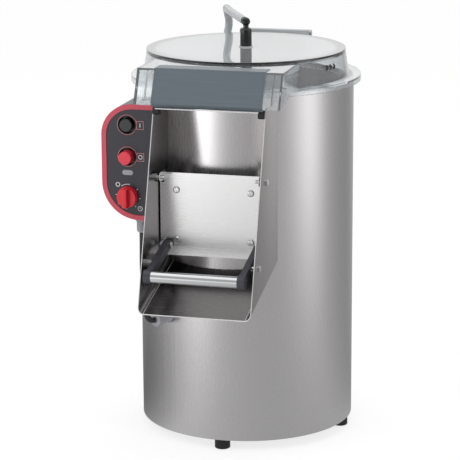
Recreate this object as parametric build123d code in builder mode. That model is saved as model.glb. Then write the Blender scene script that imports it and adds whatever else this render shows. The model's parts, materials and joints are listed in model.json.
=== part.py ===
"""Electric potato peeler: a steel drum on four feet, with a clear lid, a front chute and a control box.

Millimetres. The origin is on the floor, on the drum's axis. +Z is up, -Y is the front, +X is the right
hand of someone who faces the front.
"""

from build123d import *
from math import atan2, cos, degrees, hypot, pi, radians, sin, sqrt, tan
import os

# ---------------------------------------------------------------- driving dimensions

# Fits and gaps
running_clearance = 0.05        # radial, a shaft that turns in its hole
fixed_clearance = 0.1           # radial, a screw or pipe that is fixed in its hole
seat_gap = 0.3                  # between pieces that move apart, and round rings set in the shell
cut_over = 1.0                  # how far a cut reaches past the piece that it cuts

# Drum
body_radius = 195.0
shell_thickness = 1.5
shell_bottom = 19.0
shell_joint_z = 340.0           # where the drum's lower and upper shells are welded together
shell_top = 651.7

# Base
base_thickness = 3.0
base_lift = 3.0                 # from the shell's lower edge up to the base plate
foot_radius = 14.0
foot_chamfer = 1.2
foot_inset = 17.0               # from the drum's outside in to the feet's centres
foot_count = 4
foot_screw_radius = 4.0
foot_screw_sunk = 12.0          # how deep the screw reaches into the rubber
foot_nut_radius = 7.0
foot_nut_height = 6.0

# Drive
shelf_z = 112.0
shelf_thickness = 4.0
spindle_radius = 12.5
spindle_bottom = 52.0
motor_housing_gap = 16.0        # between the bearing housing and the motor
motor_shell_gap = 19.5          # between the motor and the drum's inside
motor_height = 172.0
motor_fin_count = 16
motor_fin_height = 4.0
motor_shaft_radius = 8.0
motor_shaft_entry = 30.0
motor_shaft_overrun = 4.0       # below its pulley
shelf_shaft_gap = 2.0
pulley_z = 60.0
pulley_width = 24.0
pulley_rim_width = 4.0
pulley_rim_height = 5.0
motor_pulley_radius = 25.0
pulley_gap = 12.0               # between the two pulleys' grooves
belt_width = 12.0
belt_thickness = 5.0
belt_gap = 0.3

# Bearings
bearing_outer_radius = 26.0
bearing_height = 15.0
housing_radius = 34.0
housing_length = 120.0
housing_bore_gap = 4.0          # round the spindle, between the bearings
housing_flange_radius = 52.0
housing_flange_height = 8.0
shaft_seal_radius = 19.0
shaft_seal_height = 7.0

# Chamber
chamber_floor_z = 322.0
chamber_floor_thickness = 3.0
liner_thickness = 2.0
liner_drop = 11.7               # from the shell's upper edge down to the liner's
rib_count = 12
rib_start = 7.5                 # degrees
rib_width = 9.0
rib_height = 4.0
rib_sink = 1.0                  # into the liner's wall
turntable_z = 342.0
turntable_gap = 7.2             # between the turntable and the ribs
turntable_thickness = 10.0
turntable_hub_radius = 24.0
turntable_hub_height = 6.0
grit_thickness = 5.0
grit_inset = 1.0
grit_wave_count = 3
grit_wave_width = 46.0
grit_wave_height = 8.0
grit_wave_chamfer = 6.4
grit_wave_margin = 10.0
hub_nut_radius = 15.0
hub_nut_height = 12.0
hub_nut_chamfer = 2.0

# Waste pipe
waste_radius = 25.0
waste_wall = 3.0
waste_offset = 118.0            # from the drum's axis back to the drain hole
waste_z = 262.0
waste_bend_radius = 32.0
waste_reach = 75.0              # out of the shell at the back
waste_collar_radius = 33.0
waste_collar_width = 5.0
waste_bead_radius = 28.0        # the stop that a waste hose is pushed up to
waste_bead_width = 3.0

# Outlet opening and chute
outlet_half_width = 76.0
outlet_bottom = 375.0
outlet_top = 492.0
outlet_corner = 12.0
chute_half_width = 100.0
sheet = 1.5
chute_drop = 13.7               # from the shell's upper edge down to the side panels'
chute_top_reach = 53.4          # from the drum's front to the side panels' upper front corners
chute_lip_reach = 164.0         # from the drum's front to the lip
chute_lip_z = 294.0
chute_back_z = 337.0            # floor height where it meets the drum
chute_bend_radius = 11.0
chute_cut_over = 40.0

# Door
door_gap = 31.0                 # from the drum's front to the door plate's face
door_half_width = 96.5
door_shoulder_half_width = 89.0
door_bottom = 366.0
door_top = 514.0
door_shoulder_z = 496.0
ear_inset = 7.5                 # the folded ears stand this far inside the plate's sides
hinge_reach = 23.0              # from the plate's face forward to the hinge pins
hinge_z = 510.0
hinge_pin_radius = 3.0
ear_radius = 8.0
pivot_reach = 12.0              # from the plate's face forward to the handle's pivots
pivot_z = 387.0
pivot_radius = 3.0
door_screw_x = 66.6
door_screw_low_z = 396.0
door_screw_high_z = 483.5
door_screw_head_radius = 6.0
door_screw_head_height = 3.0
door_screw_head_round = 2.0
door_screw_radius = 2.5
door_screw_length = 8.0
block_half_width = 84.0
block_overlap = 6.0             # above and below the outlet
block_face_thickness = 7.0
block_rim = 9.0
block_window_corner = 8.0
gasket_thickness = 2.7
gasket_window_gap = 1.0

# Handle
tube_radius = 10.0
tube_reach = 112.0              # from the pivots forward to the tube
tube_drop = 29.0                # from the pivots down to the tube
arm_half_height = 8.0
arm_inner_x = 76.3
arm_outer_x = 87.2
boss_radius = 12.0
boss_outer_x = 88.6
tube_socket = 6.0
keeper_share = 0.571            # how far along the arm the keeper sits, from pivot to tube
keeper_radius = 4.0
keeper_entry = 2.7              # how far the keeper reaches into the arm's outer face
keeper_play = 0.8
keeper_release_deg = 13.0       # the door's angle at which the keeper has left the arm

# Fasteners on the chute's sides
side_head_radius = 5.5
side_head_height = 3.2
side_nut_radius = 6.5
side_nut_height = 6.5
small_nut_radius = 6.0
small_nut_height = 4.5
pivot_nut_height = 3.2

# Bumpers under the hood
bumper_width = 11.0
bumper_depth = 15.0
bumper_height = 13.0
bumper_chamfer = 3.0
bumper_drop = 4.7               # from the panels' top down to the bumpers' top
bumper_lead = 11.0              # how far they reach ahead of the panels' upper corner

# Lid
lid_height = 50.7               # from the shell's upper edge up to the disc's face
disc_thickness = 4.0
disc_inset = 15.0               # from the drum's outside in to the disc's edge
disc_seat_width = 16.0
lid_wall = 4.0
skirt_inset = 8.5
skirt_taper = 6.9
flange_overhang = 13.0
flange_thickness = 4.0
lip_thickness = 4.0
lip_drop = 7.0
nose_half_width = 129.0
nose_top_reach = 49.0           # from the drum's front to the nose's upper front edge
nose_bottom_reach = 76.3
nose_drop = 12.7                # from the shell's upper edge down to the nose's front edge
nose_side_drop = 1.7
nose_root_inset = 105.0         # from the drum's front back to the nose's root
lip_relief_half_width = 95.0
seal_inset = 3.2
seal_width = 6.0
seal_drop = 4.0

# Hood
hood_half_width = 98.0
hood_thickness = 3.0
hood_proud = 1.2                # stands this far in front of the clear nose
hood_top_depth = 32.0
hood_bevel = 8.5

# Lid hinge
hinge_axis_reach = 30.0         # behind the drum's back
hinge_axis_rise = 45.3          # above the shell's upper edge
hinge_bar_half_length = 66.2
hinge_bar_size = 12.0
hinge_bar_corner = 2.0
hinge_rod_radius = 4.0
cheek_thickness = 3.2
cheek_drop = 51.7               # from the shell's upper edge down to the cheeks' lower end
strap_half_width = 58.0
strap_thickness = 2.5
strap_front_gap = 1.5           # from the lid's skirt back to the strap
strap_screw_x = 34.0
strap_screw_radius = 2.5
strap_screw_head_radius = 5.0
strap_screw_head_height = 3.0

# Water fittings
elbow_radius = 10.5
elbow_height = 34.0
elbow_chamfer = 2.5
elbow_neck_radius = 5.0
elbow_ball_radius = 7.8
elbow_ball_rise = 45.6          # above the disc's face
elbow_stem_radius = 6.7
elbow_nut_radius = 12.0
elbow_nut_height = 8.0
nozzle_radius = 9.0
nozzle_height = 14.0
nozzle_chamfer = 3.0
hose_radius = 7.25
hose_start = 10.0               # from the ball's centre to the hose's first end
hose_spigot_radius = 6.4
cord_arc_share = 0.45           # of the shorter run, taken by each end of an arc

valve_x = -100.0
valve_reach = 9.0               # behind the drum's back
valve_drop = 11.7               # from the shell's upper edge down to the valve's
valve_height = 44.0
valve_width = 36.0
valve_depth = 40.0
valve_corner = 4.0
valve_spigot_radius = 6.5
valve_spigot_length = 17.0
coil_radius = 16.0
coil_length = 30.0
inlet_radius = 13.2
inlet_bore = 8.0
inlet_length = 20.0
bracket_height = 34.0
bracket_width = 46.0

# Lid switch
switch_angle = 150.0            # about +Z, from +X towards +Y
switch_half_width = 9.0
switch_depth = 12.0
switch_height = 22.0
switch_drop = 9.0
switch_sink = 2.0               # into the drum, cut back to its surface
magnet_start = 3.5              # from the drum's surface out to the magnet
magnet_depth = 5.0
magnet_half_width = 7.0
magnet_height = 6.0

# Control box
panel_reach = 19.5              # from the drum's left side out to the panel's edge
panel_width = 96.0
panel_drop = 27.8               # from the shell's upper edge down to the panel's
panel_height = 208.0
panel_top_radius = 57.0
panel_bottom_radius = 68.0
panel_recess = 5.0              # the panel's face is this far behind the drum's front
panel_thickness = 3.0
border_width = 9.0
border_proud = 1.2
box_depth = 90.0
box_wall = 3.0
control_inset = 47.5            # from the panel's left edge in to the controls
start_drop = 37.0               # from the panel's upper edge down to the start button
stop_drop = 94.0
timer_rise = 42.0               # from the panel's lower edge up to the timer
collar_radius = 17.0
collar_wall = 1.5
collar_depth = 14.0
collar_floor = 2.5
cap_radius = 12.0
cap_chamfer = 1.2
cap_back = 6.5                  # behind the panel's face
start_cap_front = 8.0           # ahead of the panel's face
stop_cap_front = 17.0
button_travel = 4.0
stem_radius = 4.0
stem_length = 8.0               # behind the collar's floor
contact_size = 24.0
contact_wall = 8.0              # of the contact block, behind the stem's bore
knob_radius = 18.8
knob_height = 12.0
knob_skirt_height = 6.0
knob_grip_width = 9.0
knob_grip_height = 11.0
knob_grip_inset = 2.0
knob_step = 1.5
knob_chamfer = 1.5
knob_gap = 0.6
timer_shaft_radius = 3.0
timer_width = 40.0
timer_depth = 28.0
timer_corner = 4.0

# Glands and the cable between them
gland_inset_x = 42.0            # from the drum's left side in to the upper gland
gland_inset_y = 40.0            # from the drum's front back to it
gland_nut_radius = 12.0
gland_nut_height = 10.0
gland_length = 30.0
gland_tip_radius = 9.0
low_gland_angle = 238.9         # about +Z, from +X
low_gland_z = 236.0
low_gland_length = 35.0
low_gland_thread_radius = 10.0
low_gland_entry = 8.0           # how far its thread reaches into the drum
gland_hex_gap = 0.8             # between its hexagon and the curved shell
gland_hex_width = 5.0
gland_chamfer = 2.0
cable_radius = 5.0
cable_run_out = 9.0             # straight out of the lower gland before the cable turns up
supply_angle = 60.0
supply_z = 150.0
supply_radius = 12.0
supply_length = 14.0
supply_bore = 6.5
supply_wall = 1.5

# ---------------------------------------------------------------- derived places

on_floor = (Align.CENTER, Align.CENTER, Align.MIN)
shell_inner = body_radius - shell_thickness
foot_circle = body_radius - foot_inset
ring_radius = shell_inner - seat_gap
base_z = shell_bottom + base_lift
shelf_top = shelf_z + shelf_thickness
motor_radius = (shell_inner - motor_shell_gap - housing_radius - motor_housing_gap) / 2
motor_offset = housing_radius + motor_housing_gap + motor_radius
driven_pulley_radius = motor_offset - motor_pulley_radius - pulley_gap
floor_top = chamber_floor_z + chamber_floor_thickness
liner_top = shell_top - liner_drop
liner_inner = ring_radius - liner_thickness
turntable_radius = liner_inner - rib_height - turntable_gap
grit_z = turntable_z + turntable_thickness
grit_top = grit_z + grit_thickness
housing_bottom = chamber_floor_z - housing_length

chute_top = shell_top - chute_drop
door_y = -(body_radius + door_gap)
hinge_y = door_y - hinge_reach
pivot_y = door_y - pivot_reach
tube_y = pivot_y - tube_reach
tube_z = pivot_z - tube_drop
ear_x = door_half_width - ear_inset
keeper_y = pivot_y - keeper_share * tube_reach
keeper_z = pivot_z - keeper_share * tube_drop
block_bottom = outlet_bottom - block_overlap
block_top = outlet_top + block_overlap
block_back_radius = body_radius + seat_gap + gasket_thickness + fixed_clearance

flange_radius = body_radius + flange_overhang
flange_bottom = shell_top + seat_gap
flange_top = flange_bottom + flange_thickness
disc_top = shell_top + lid_height
disc_bottom = disc_top - disc_thickness
disc_radius = body_radius - disc_inset
seat_radius = disc_radius - disc_seat_width
skirt_radius = body_radius - skirt_inset
skirt_top_radius = skirt_radius - skirt_taper
seal_radius = body_radius - seal_inset
nose_bottom_z = shell_top - nose_drop
nose_side_bottom_z = shell_top - nose_side_drop
nose_root_y = -(body_radius - nose_root_inset)

lid_axis_y = body_radius + hinge_axis_reach
hinge_axis_z = shell_top + hinge_axis_rise
cheek_bottom_z = shell_top - cheek_drop
elbow_ball_z = disc_top + elbow_ball_rise
valve_y = body_radius + valve_reach
valve_top = shell_top - valve_drop

panel_left = -(body_radius + panel_reach)
panel_right = panel_left + panel_width
panel_top = shell_top - panel_drop
panel_bottom = panel_top - panel_height
panel_y = -(body_radius - panel_recess)
box_front_y = panel_y + panel_thickness
control_x = panel_left + control_inset
start_z = panel_top - start_drop
stop_z = panel_top - stop_drop
timer_z = panel_bottom + timer_rise
gland_x = -(body_radius - gland_inset_x)
gland_y = -(body_radius - gland_inset_y)

# Hose from the elbow to the valve, and cable from the box to the drum
hose_points = [
    (valve_x + 68.0, valve_y - 153.0, elbow_ball_z + 3.8),
    (valve_x + 40.0, valve_y - 105.0, elbow_ball_z + 5.0),
    (valve_x + 18.0, valve_y - 59.0, elbow_ball_z + 3.0),
    (valve_x + 6.0, valve_y - 23.0, elbow_ball_z - 10.0),
    (valve_x + 1.0, valve_y - 5.0, valve_top + 72.0),
    (valve_x, valve_y, valve_top + 44.0),
]
cable_points = [
    (gland_x + 24.5, gland_y - 58.3, low_gland_z + 9.9),
    (gland_x + 22.5, gland_y - 61.5, low_gland_z + 29.6),
    (gland_x + 20.5, gland_y - 58.0, panel_bottom - 122.0),
    (gland_x + 8.0, gland_y - 28.0, panel_bottom - 90.0),
    (gland_x, gland_y, panel_bottom - 56.0),
]


def chute_front_y(z):
    """The side panels' front edge at height z."""
    share = (chute_top - z) / (chute_top - chute_lip_z)
    return -(body_radius + chute_top_reach + share * (chute_lip_reach - chute_top_reach))


def chute_floor_z(y):
    """The floor's upper face at depth y."""
    share = (-body_radius - y) / chute_lip_reach
    return chute_back_z - share * (chute_back_z - chute_lip_z)


def on_drum(angle, radius, z):
    """A point on a circle about the drum's axis."""
    return Vector(radius * cos(radians(angle)), radius * sin(radians(angle)), z)


def radial_plane(angle, radius, z):
    """A plane that faces straight out of the drum, with its own Y upwards."""
    out = on_drum(angle, 1, 0)
    return Plane(origin=on_drum(angle, radius, z), x_dir=Vector(-out.Y, out.X, 0), z_dir=out)


def cord_path(points):
    """Straight runs joined by arcs, each as large as its two runs allow. Prints the radii."""
    corners = [Vector(*p) for p in points]
    radii = []
    for before, here, after in zip(corners, corners[1:], corners[2:]):
        turn = radians((here - before).get_angle(after - here))
        shorter = min((here - before).length, (after - here).length)
        radii.append(cord_arc_share * shorter / tan(turn / 2))
    print("runs", [round((b - a).length, 1) for a, b in zip(corners, corners[1:])])
    print("radii", [round(r, 1) for r in radii])
    return FilletPolyline(*corners, radius=radii)


def save(piece, name):
    """Labels a finished sub-part and writes its STEP file."""
    piece.part.label = name
    export_step(piece.part, f"parts/{name}.step")


os.makedirs("parts", exist_ok=True)

# ---------------------------------------------------------------- drum

with BuildPart() as base_shell:
    with BuildSketch(Plane.XY.offset(shell_bottom)):
        Circle(body_radius)
        Circle(shell_inner, mode=Mode.SUBTRACT)
    extrude(amount=shell_joint_z - shell_bottom)
    with BuildSketch(Plane.XZ):
        with Locations((0, waste_z)):
            Circle(waste_radius + fixed_clearance)
    extrude(amount=-(body_radius + shell_thickness), mode=Mode.SUBTRACT)
    with BuildSketch(radial_plane(low_gland_angle, 0, low_gland_z)):
        Circle(low_gland_thread_radius + fixed_clearance)
    extrude(amount=body_radius + shell_thickness, mode=Mode.SUBTRACT)
    with BuildSketch(radial_plane(supply_angle, 0, supply_z)):
        Circle(supply_bore + fixed_clearance)
    extrude(amount=body_radius + shell_thickness, mode=Mode.SUBTRACT)
save(base_shell, "base_shell")

with BuildPart() as body_shell:
    with BuildSketch(Plane.XY.offset(shell_joint_z)):
        Circle(body_radius)
        Circle(shell_inner, mode=Mode.SUBTRACT)
    extrude(amount=shell_top - shell_joint_z)
    with BuildSketch(Plane.XZ):
        with Locations((0, (outlet_bottom + outlet_top) / 2)):
            RectangleRounded(2 * outlet_half_width, outlet_top - outlet_bottom, outlet_corner)
    extrude(amount=body_radius + shell_thickness, mode=Mode.SUBTRACT)
save(body_shell, "body_shell")

with BuildPart() as base_plate:
    with BuildSketch(Plane.XY.offset(base_z)):
        Circle(ring_radius)
        with PolarLocations(foot_circle, foot_count):
            Circle(foot_screw_radius + fixed_clearance, mode=Mode.SUBTRACT)
    extrude(amount=base_thickness)
save(base_plate, "base_plate")

with BuildPart() as feet:
    with BuildSketch():
        with PolarLocations(foot_circle, foot_count):
            Circle(foot_radius)
    extrude(amount=base_z)
    chamfer(feet.edges().group_by(Axis.Z)[0], foot_chamfer)
    with BuildSketch(Plane.XY.offset(base_z - foot_screw_sunk)):
        with PolarLocations(foot_circle, foot_count):
            Circle(foot_screw_radius + fixed_clearance)
    extrude(amount=foot_screw_sunk, mode=Mode.SUBTRACT)
save(feet, "feet")

with BuildPart() as foot_screws:
    with BuildSketch(Plane.XY.offset(base_z - foot_screw_sunk)):
        with PolarLocations(foot_circle, foot_count):
            Circle(foot_screw_radius)
    extrude(amount=foot_screw_sunk + base_thickness + foot_nut_height)
    with BuildSketch(Plane.XY.offset(base_z + base_thickness)):
        with PolarLocations(foot_circle, foot_count):
            RegularPolygon(foot_nut_radius, 6)
    extrude(amount=foot_nut_height)
save(foot_screws, "foot_screws")

# ---------------------------------------------------------------- drive

with BuildPart() as motor_shelf:
    with BuildSketch(Plane.XY.offset(shelf_z)):
        Circle(ring_radius)
        Circle(housing_radius, mode=Mode.SUBTRACT)
        with Locations((motor_offset, 0)):
            Circle(motor_shaft_radius + shelf_shaft_gap, mode=Mode.SUBTRACT)
    extrude(amount=shelf_thickness)
save(motor_shelf, "motor_shelf")

with BuildPart() as motor:
    with BuildSketch(Plane.XY.offset(shelf_top)):
        with Locations((motor_offset, 0)):
            Circle(motor_radius - motor_fin_height)
            with PolarLocations(motor_radius - motor_fin_height, motor_fin_count):
                Rectangle(2 * motor_fin_height, motor_fin_height)
    extrude(amount=motor_height)
    with BuildSketch(Plane.XY.offset(shelf_top)):
        with Locations((motor_offset, 0)):
            Circle(motor_shaft_radius + running_clearance)
    extrude(amount=motor_shaft_entry + seat_gap, mode=Mode.SUBTRACT)
save(motor, "motor")

with BuildPart() as motor_shaft:
    with BuildSketch(Plane.XY.offset(pulley_z - motor_shaft_overrun)):
        with Locations((motor_offset, 0)):
            Circle(motor_shaft_radius)
    extrude(amount=shelf_top + motor_shaft_entry - pulley_z + motor_shaft_overrun)
save(motor_shaft, "motor_shaft")


def pulley(centre_x, groove_radius, bore_radius):
    """A flat belt's pulley with a rim at each end, cut for its shaft."""
    groove_low = pulley_z + pulley_rim_width
    groove_high = pulley_z + pulley_width - pulley_rim_width
    rim_radius = groove_radius + pulley_rim_height
    with BuildSketch(Plane.XY.offset(pulley_z)) as rim:
        with Locations((centre_x, 0)):
            Circle(rim_radius)
            Circle(bore_radius + fixed_clearance, mode=Mode.SUBTRACT)
    extrude(rim.sketch, amount=pulley_width)
    with BuildSketch(Plane.XY.offset(groove_low)) as groove:
        with Locations((centre_x, 0)):
            Circle(rim_radius + cut_over)
            Circle(groove_radius, mode=Mode.SUBTRACT)
    extrude(groove.sketch, amount=groove_high - groove_low, mode=Mode.SUBTRACT)


with BuildPart() as motor_pulley:
    pulley(motor_offset, motor_pulley_radius, motor_shaft_radius)
save(motor_pulley, "motor_pulley")

with BuildPart() as driven_pulley:
    pulley(0, driven_pulley_radius, spindle_radius)
save(driven_pulley, "driven_pulley")


def belt_loop(extra):
    """The stretched loop round both pulleys, this far outside their grooves."""
    Circle(driven_pulley_radius + extra)
    with Locations((motor_offset, 0)):
        Circle(motor_pulley_radius + extra)
    make_hull()


belt_z = pulley_z + (pulley_width - belt_width) / 2
with BuildPart() as belt:
    with BuildSketch(Plane.XY.offset(belt_z)):
        belt_loop(belt_gap + belt_thickness)
    extrude(amount=belt_width)
    with BuildSketch(Plane.XY.offset(belt_z)):
        belt_loop(belt_gap)
    extrude(amount=belt_width, mode=Mode.SUBTRACT)
save(belt, "belt")

with BuildPart() as bearing_housing:
    with BuildSketch(Plane.XY.offset(housing_bottom)):
        Circle(housing_radius)
    extrude(amount=housing_length)
    with BuildSketch(Plane.XY.offset(chamber_floor_z - housing_flange_height)):
        Circle(housing_flange_radius)
    extrude(amount=housing_flange_height)
    with BuildSketch(Plane.XY.offset(housing_bottom)):
        Circle(bearing_outer_radius + fixed_clearance)
    extrude(amount=bearing_height, mode=Mode.SUBTRACT)
    with BuildSketch(Plane.XY.offset(chamber_floor_z - bearing_height)):
        Circle(bearing_outer_radius + fixed_clearance)
    extrude(amount=bearing_height, mode=Mode.SUBTRACT)
    with BuildSketch(Plane.XY.offset(housing_bottom)):
        Circle(spindle_radius + housing_bore_gap)
    extrude(amount=housing_length, mode=Mode.SUBTRACT)
save(bearing_housing, "bearing_housing")

with BuildPart() as bearings:
    for z in (housing_bottom, chamber_floor_z - bearing_height):
        with BuildSketch(Plane.XY.offset(z)):
            Circle(bearing_outer_radius)
            Circle(spindle_radius + running_clearance, mode=Mode.SUBTRACT)
        extrude(amount=bearing_height)
save(bearings, "bearings")

with BuildPart() as spindle:
    with BuildSketch(Plane.XY.offset(spindle_bottom)):
        Circle(spindle_radius)
    extrude(amount=grit_top - spindle_bottom)
save(spindle, "spindle")

# ---------------------------------------------------------------- chamber

with BuildPart() as chamber_floor:
    with BuildSketch(Plane.XY.offset(chamber_floor_z)):
        Circle(ring_radius)
        Circle(shaft_seal_radius, mode=Mode.SUBTRACT)
        with Locations((0, waste_offset)):
            Circle(waste_radius + fixed_clearance, mode=Mode.SUBTRACT)
    extrude(amount=chamber_floor_thickness)
save(chamber_floor, "chamber_floor")

with BuildPart() as shaft_seal:
    with BuildSketch(Plane.XY.offset(chamber_floor_z)):
        Circle(shaft_seal_radius - fixed_clearance)
        Circle(spindle_radius + running_clearance, mode=Mode.SUBTRACT)
    extrude(amount=shaft_seal_height)
save(shaft_seal, "shaft_seal")

with BuildPart() as chamber_liner:
    with BuildSketch(Plane.XY.offset(floor_top)):
        Circle(ring_radius)
        Circle(liner_inner, mode=Mode.SUBTRACT)
        with PolarLocations(liner_inner - (rib_height - rib_sink) / 2, rib_count, start_angle=rib_start):
            Rectangle(rib_height + rib_sink, rib_width)
    extrude(amount=liner_top - floor_top)
    with BuildSketch(Plane.XZ):
        with Locations((0, (outlet_bottom + outlet_top) / 2)):
            RectangleRounded(2 * outlet_half_width, outlet_top - outlet_bottom, outlet_corner)
    extrude(amount=body_radius, mode=Mode.SUBTRACT)
save(chamber_liner, "chamber_liner")

with BuildPart() as turntable:
    with BuildSketch(Plane.XY.offset(turntable_z)):
        Circle(turntable_radius)
    extrude(amount=turntable_thickness)
    with BuildSketch(Plane.XY.offset(turntable_z - turntable_hub_height)):
        Circle(turntable_hub_radius)
    extrude(amount=turntable_hub_height)
    with BuildSketch(Plane.XY.offset(turntable_z - turntable_hub_height)):
        Circle(spindle_radius + fixed_clearance)
    extrude(amount=turntable_hub_height + turntable_thickness, mode=Mode.SUBTRACT)
save(turntable, "turntable")

wave_length = turntable_radius - turntable_hub_radius - grit_wave_margin
with BuildPart() as grit_disc:
    with BuildSketch(Plane.XY.offset(grit_z)):
        Circle(turntable_radius - grit_inset)
    extrude(amount=grit_thickness)
    with PolarLocations(turntable_hub_radius + wave_length / 2, grit_wave_count):
        with Locations((0, 0, grit_top)):
            Box(wave_length, grit_wave_width, 2 * grit_wave_height)
    chamfer(grit_disc.edges().group_by(Axis.Z)[-1], grit_wave_chamfer)
    with BuildSketch(Plane.XY.offset(grit_z - grit_wave_height)):
        Circle(turntable_radius)
    extrude(amount=grit_wave_height, mode=Mode.SUBTRACT)
    with BuildSketch(Plane.XY.offset(grit_z)):
        Circle(spindle_radius + fixed_clearance)
    extrude(amount=grit_thickness + grit_wave_height, mode=Mode.SUBTRACT)
save(grit_disc, "grit_disc")

with BuildPart() as hub_nut:
    with BuildSketch(Plane.XY.offset(grit_top)):
        RegularPolygon(hub_nut_radius, 6)
    extrude(amount=hub_nut_height)
    chamfer(hub_nut.edges().group_by(Axis.Z)[-1], hub_nut_chamfer)
save(hub_nut, "hub_nut")

# ---------------------------------------------------------------- waste pipe

waste_end_y = body_radius + waste_reach
waste_bend_y = waste_offset + waste_bend_radius
waste_bend_z = waste_z + waste_bend_radius


def waste_ring():
    """The pipe's section round the current place."""
    Circle(waste_radius)
    Circle(waste_radius - waste_wall, mode=Mode.SUBTRACT)


with BuildPart() as waste_pipe:
    with BuildSketch(Plane.XY.offset(waste_bend_z)) as drop_ring:
        with Locations((0, waste_offset)):
            waste_ring()
    extrude(amount=floor_top - waste_bend_z)
    bend_axis = Axis((0, waste_bend_y, waste_bend_z), (1, 0, 0))
    revolve(drop_ring.sketch, axis=bend_axis, revolution_arc=90)
    with BuildSketch(Plane.XZ.offset(-waste_bend_y)):
        with Locations((0, waste_z)):
            waste_ring()
    extrude(amount=waste_bend_y - waste_end_y)
    with BuildSketch(Plane.XZ.offset(-(body_radius + waste_collar_width))):
        with Locations((0, waste_z)):
            Circle(waste_bead_radius)
            Circle(waste_radius - waste_wall, mode=Mode.SUBTRACT)
    extrude(amount=-waste_bead_width)
save(waste_pipe, "waste_pipe")

with BuildPart() as waste_collar:
    with BuildSketch(Plane.XZ.offset(-(body_radius - waste_collar_width))):
        with Locations((0, waste_z)):
            Circle(waste_collar_radius)
            Circle(waste_radius + fixed_clearance, mode=Mode.SUBTRACT)
    extrude(amount=-2 * waste_collar_width)
    Cylinder(body_radius, shell_top, align=on_floor, mode=Mode.SUBTRACT)
save(waste_collar, "waste_collar")

# ---------------------------------------------------------------- chute

floor_slope = atan2(chute_back_z - chute_lip_z, chute_lip_reach)
sheet_drop = sheet / cos(floor_slope)
chute_root_y = -body_radius / 2


def chute_prism(half_width, drop, rise, ahead):
    """The chute's side outline between both sides, its floor lowered by drop, its top raised by rise."""
    lip_y = -(body_radius + chute_lip_reach)
    with BuildSketch(Plane.YZ.offset(-half_width)) as outline:
        with BuildLine():
            Polyline(
                (chute_root_y, chute_top + rise),
                (chute_front_y(chute_top) - ahead, chute_top + rise),
                (lip_y - ahead, chute_floor_z(lip_y - ahead) - drop),
                (chute_root_y, chute_floor_z(chute_root_y) - drop),
                close=True,
            )
        make_face()
    extrude(outline.sketch, amount=2 * half_width)


def along_floor(edges):
    """The two long lower edges, at the sides of the floor."""
    low = edges.filter_by(lambda e: abs(e.tangent_at(0.5).X) < 0.01 and abs(e.tangent_at(0.5).Z) < 0.5)
    return low.sort_by(Axis.Z)[:2]


with BuildPart() as chute_space:
    chute_prism(chute_half_width - sheet, 0, chute_cut_over, chute_cut_over)
    fillet(along_floor(chute_space.edges()), chute_bend_radius - sheet)

with BuildPart() as chute:
    chute_prism(chute_half_width, sheet_drop, 0, 0)
    fillet(along_floor(chute.edges()), chute_bend_radius)
    add(chute_space.part, mode=Mode.SUBTRACT)
    Cylinder(body_radius, shell_top, align=on_floor, mode=Mode.SUBTRACT)
    for y, z, radius in ((hinge_y, hinge_z, hinge_pin_radius), (keeper_y, keeper_z, keeper_radius)):
        with BuildSketch(Plane.YZ.offset(-chute_half_width)):
            with Locations((y, z)):
                Circle(radius + fixed_clearance)
        extrude(amount=2 * chute_half_width, mode=Mode.SUBTRACT)
save(chute, "chute")


def stepped_pin(y, z, steps):
    """Round or six-sided steps along X on the right side, mirrored to the left.

    Each step is (radius, from x, to x, sides); 0 sides is round.
    """
    for radius, low, high, sides in steps:
        with BuildSketch(Plane.YZ.offset(low)) as step:
            with Locations((y, z)):
                if sides:
                    RegularPolygon(radius, sides)
                else:
                    Circle(radius)
        extrude(step.sketch, amount=high - low)
    mirror(about=Plane.YZ)


side_inner = chute_half_width - sheet
side_head_x = chute_half_width + side_head_height
with BuildPart() as hinge_pins:
    stepped_pin(
        hinge_y,
        hinge_z,
        (
            (hinge_pin_radius, ear_x - ear_radius, side_head_x, 0),
            (side_head_radius, chute_half_width, side_head_x, 0),
            (small_nut_radius, side_inner - small_nut_height, side_inner, 6),
        ),
    )
save(hinge_pins, "hinge_pins")

with BuildPart() as keeper_bolts:
    stepped_pin(
        keeper_y,
        keeper_z,
        (
            (keeper_radius, arm_outer_x - keeper_entry, side_head_x, 0),
            (side_head_radius, chute_half_width, side_head_x, 0),
            (side_nut_radius, side_inner - side_nut_height, side_inner, 6),
        ),
    )
save(keeper_bolts, "keeper_bolts")

bumper_top = chute_top - bumper_drop
with BuildPart() as bumpers:
    with BuildSketch(Plane.XY.offset(bumper_top - bumper_height)):
        with Locations((side_inner, chute_front_y(chute_top) - bumper_lead)):
            Rectangle(bumper_width, bumper_depth, align=(Align.MAX, Align.MIN))
    extrude(amount=bumper_height)
    chamfer(bumpers.edges().filter_by(Axis.X).group_by(Axis.Y)[0], bumper_chamfer)
    mirror(about=Plane.YZ)
save(bumpers, "bumpers")

# ---------------------------------------------------------------- door

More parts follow.
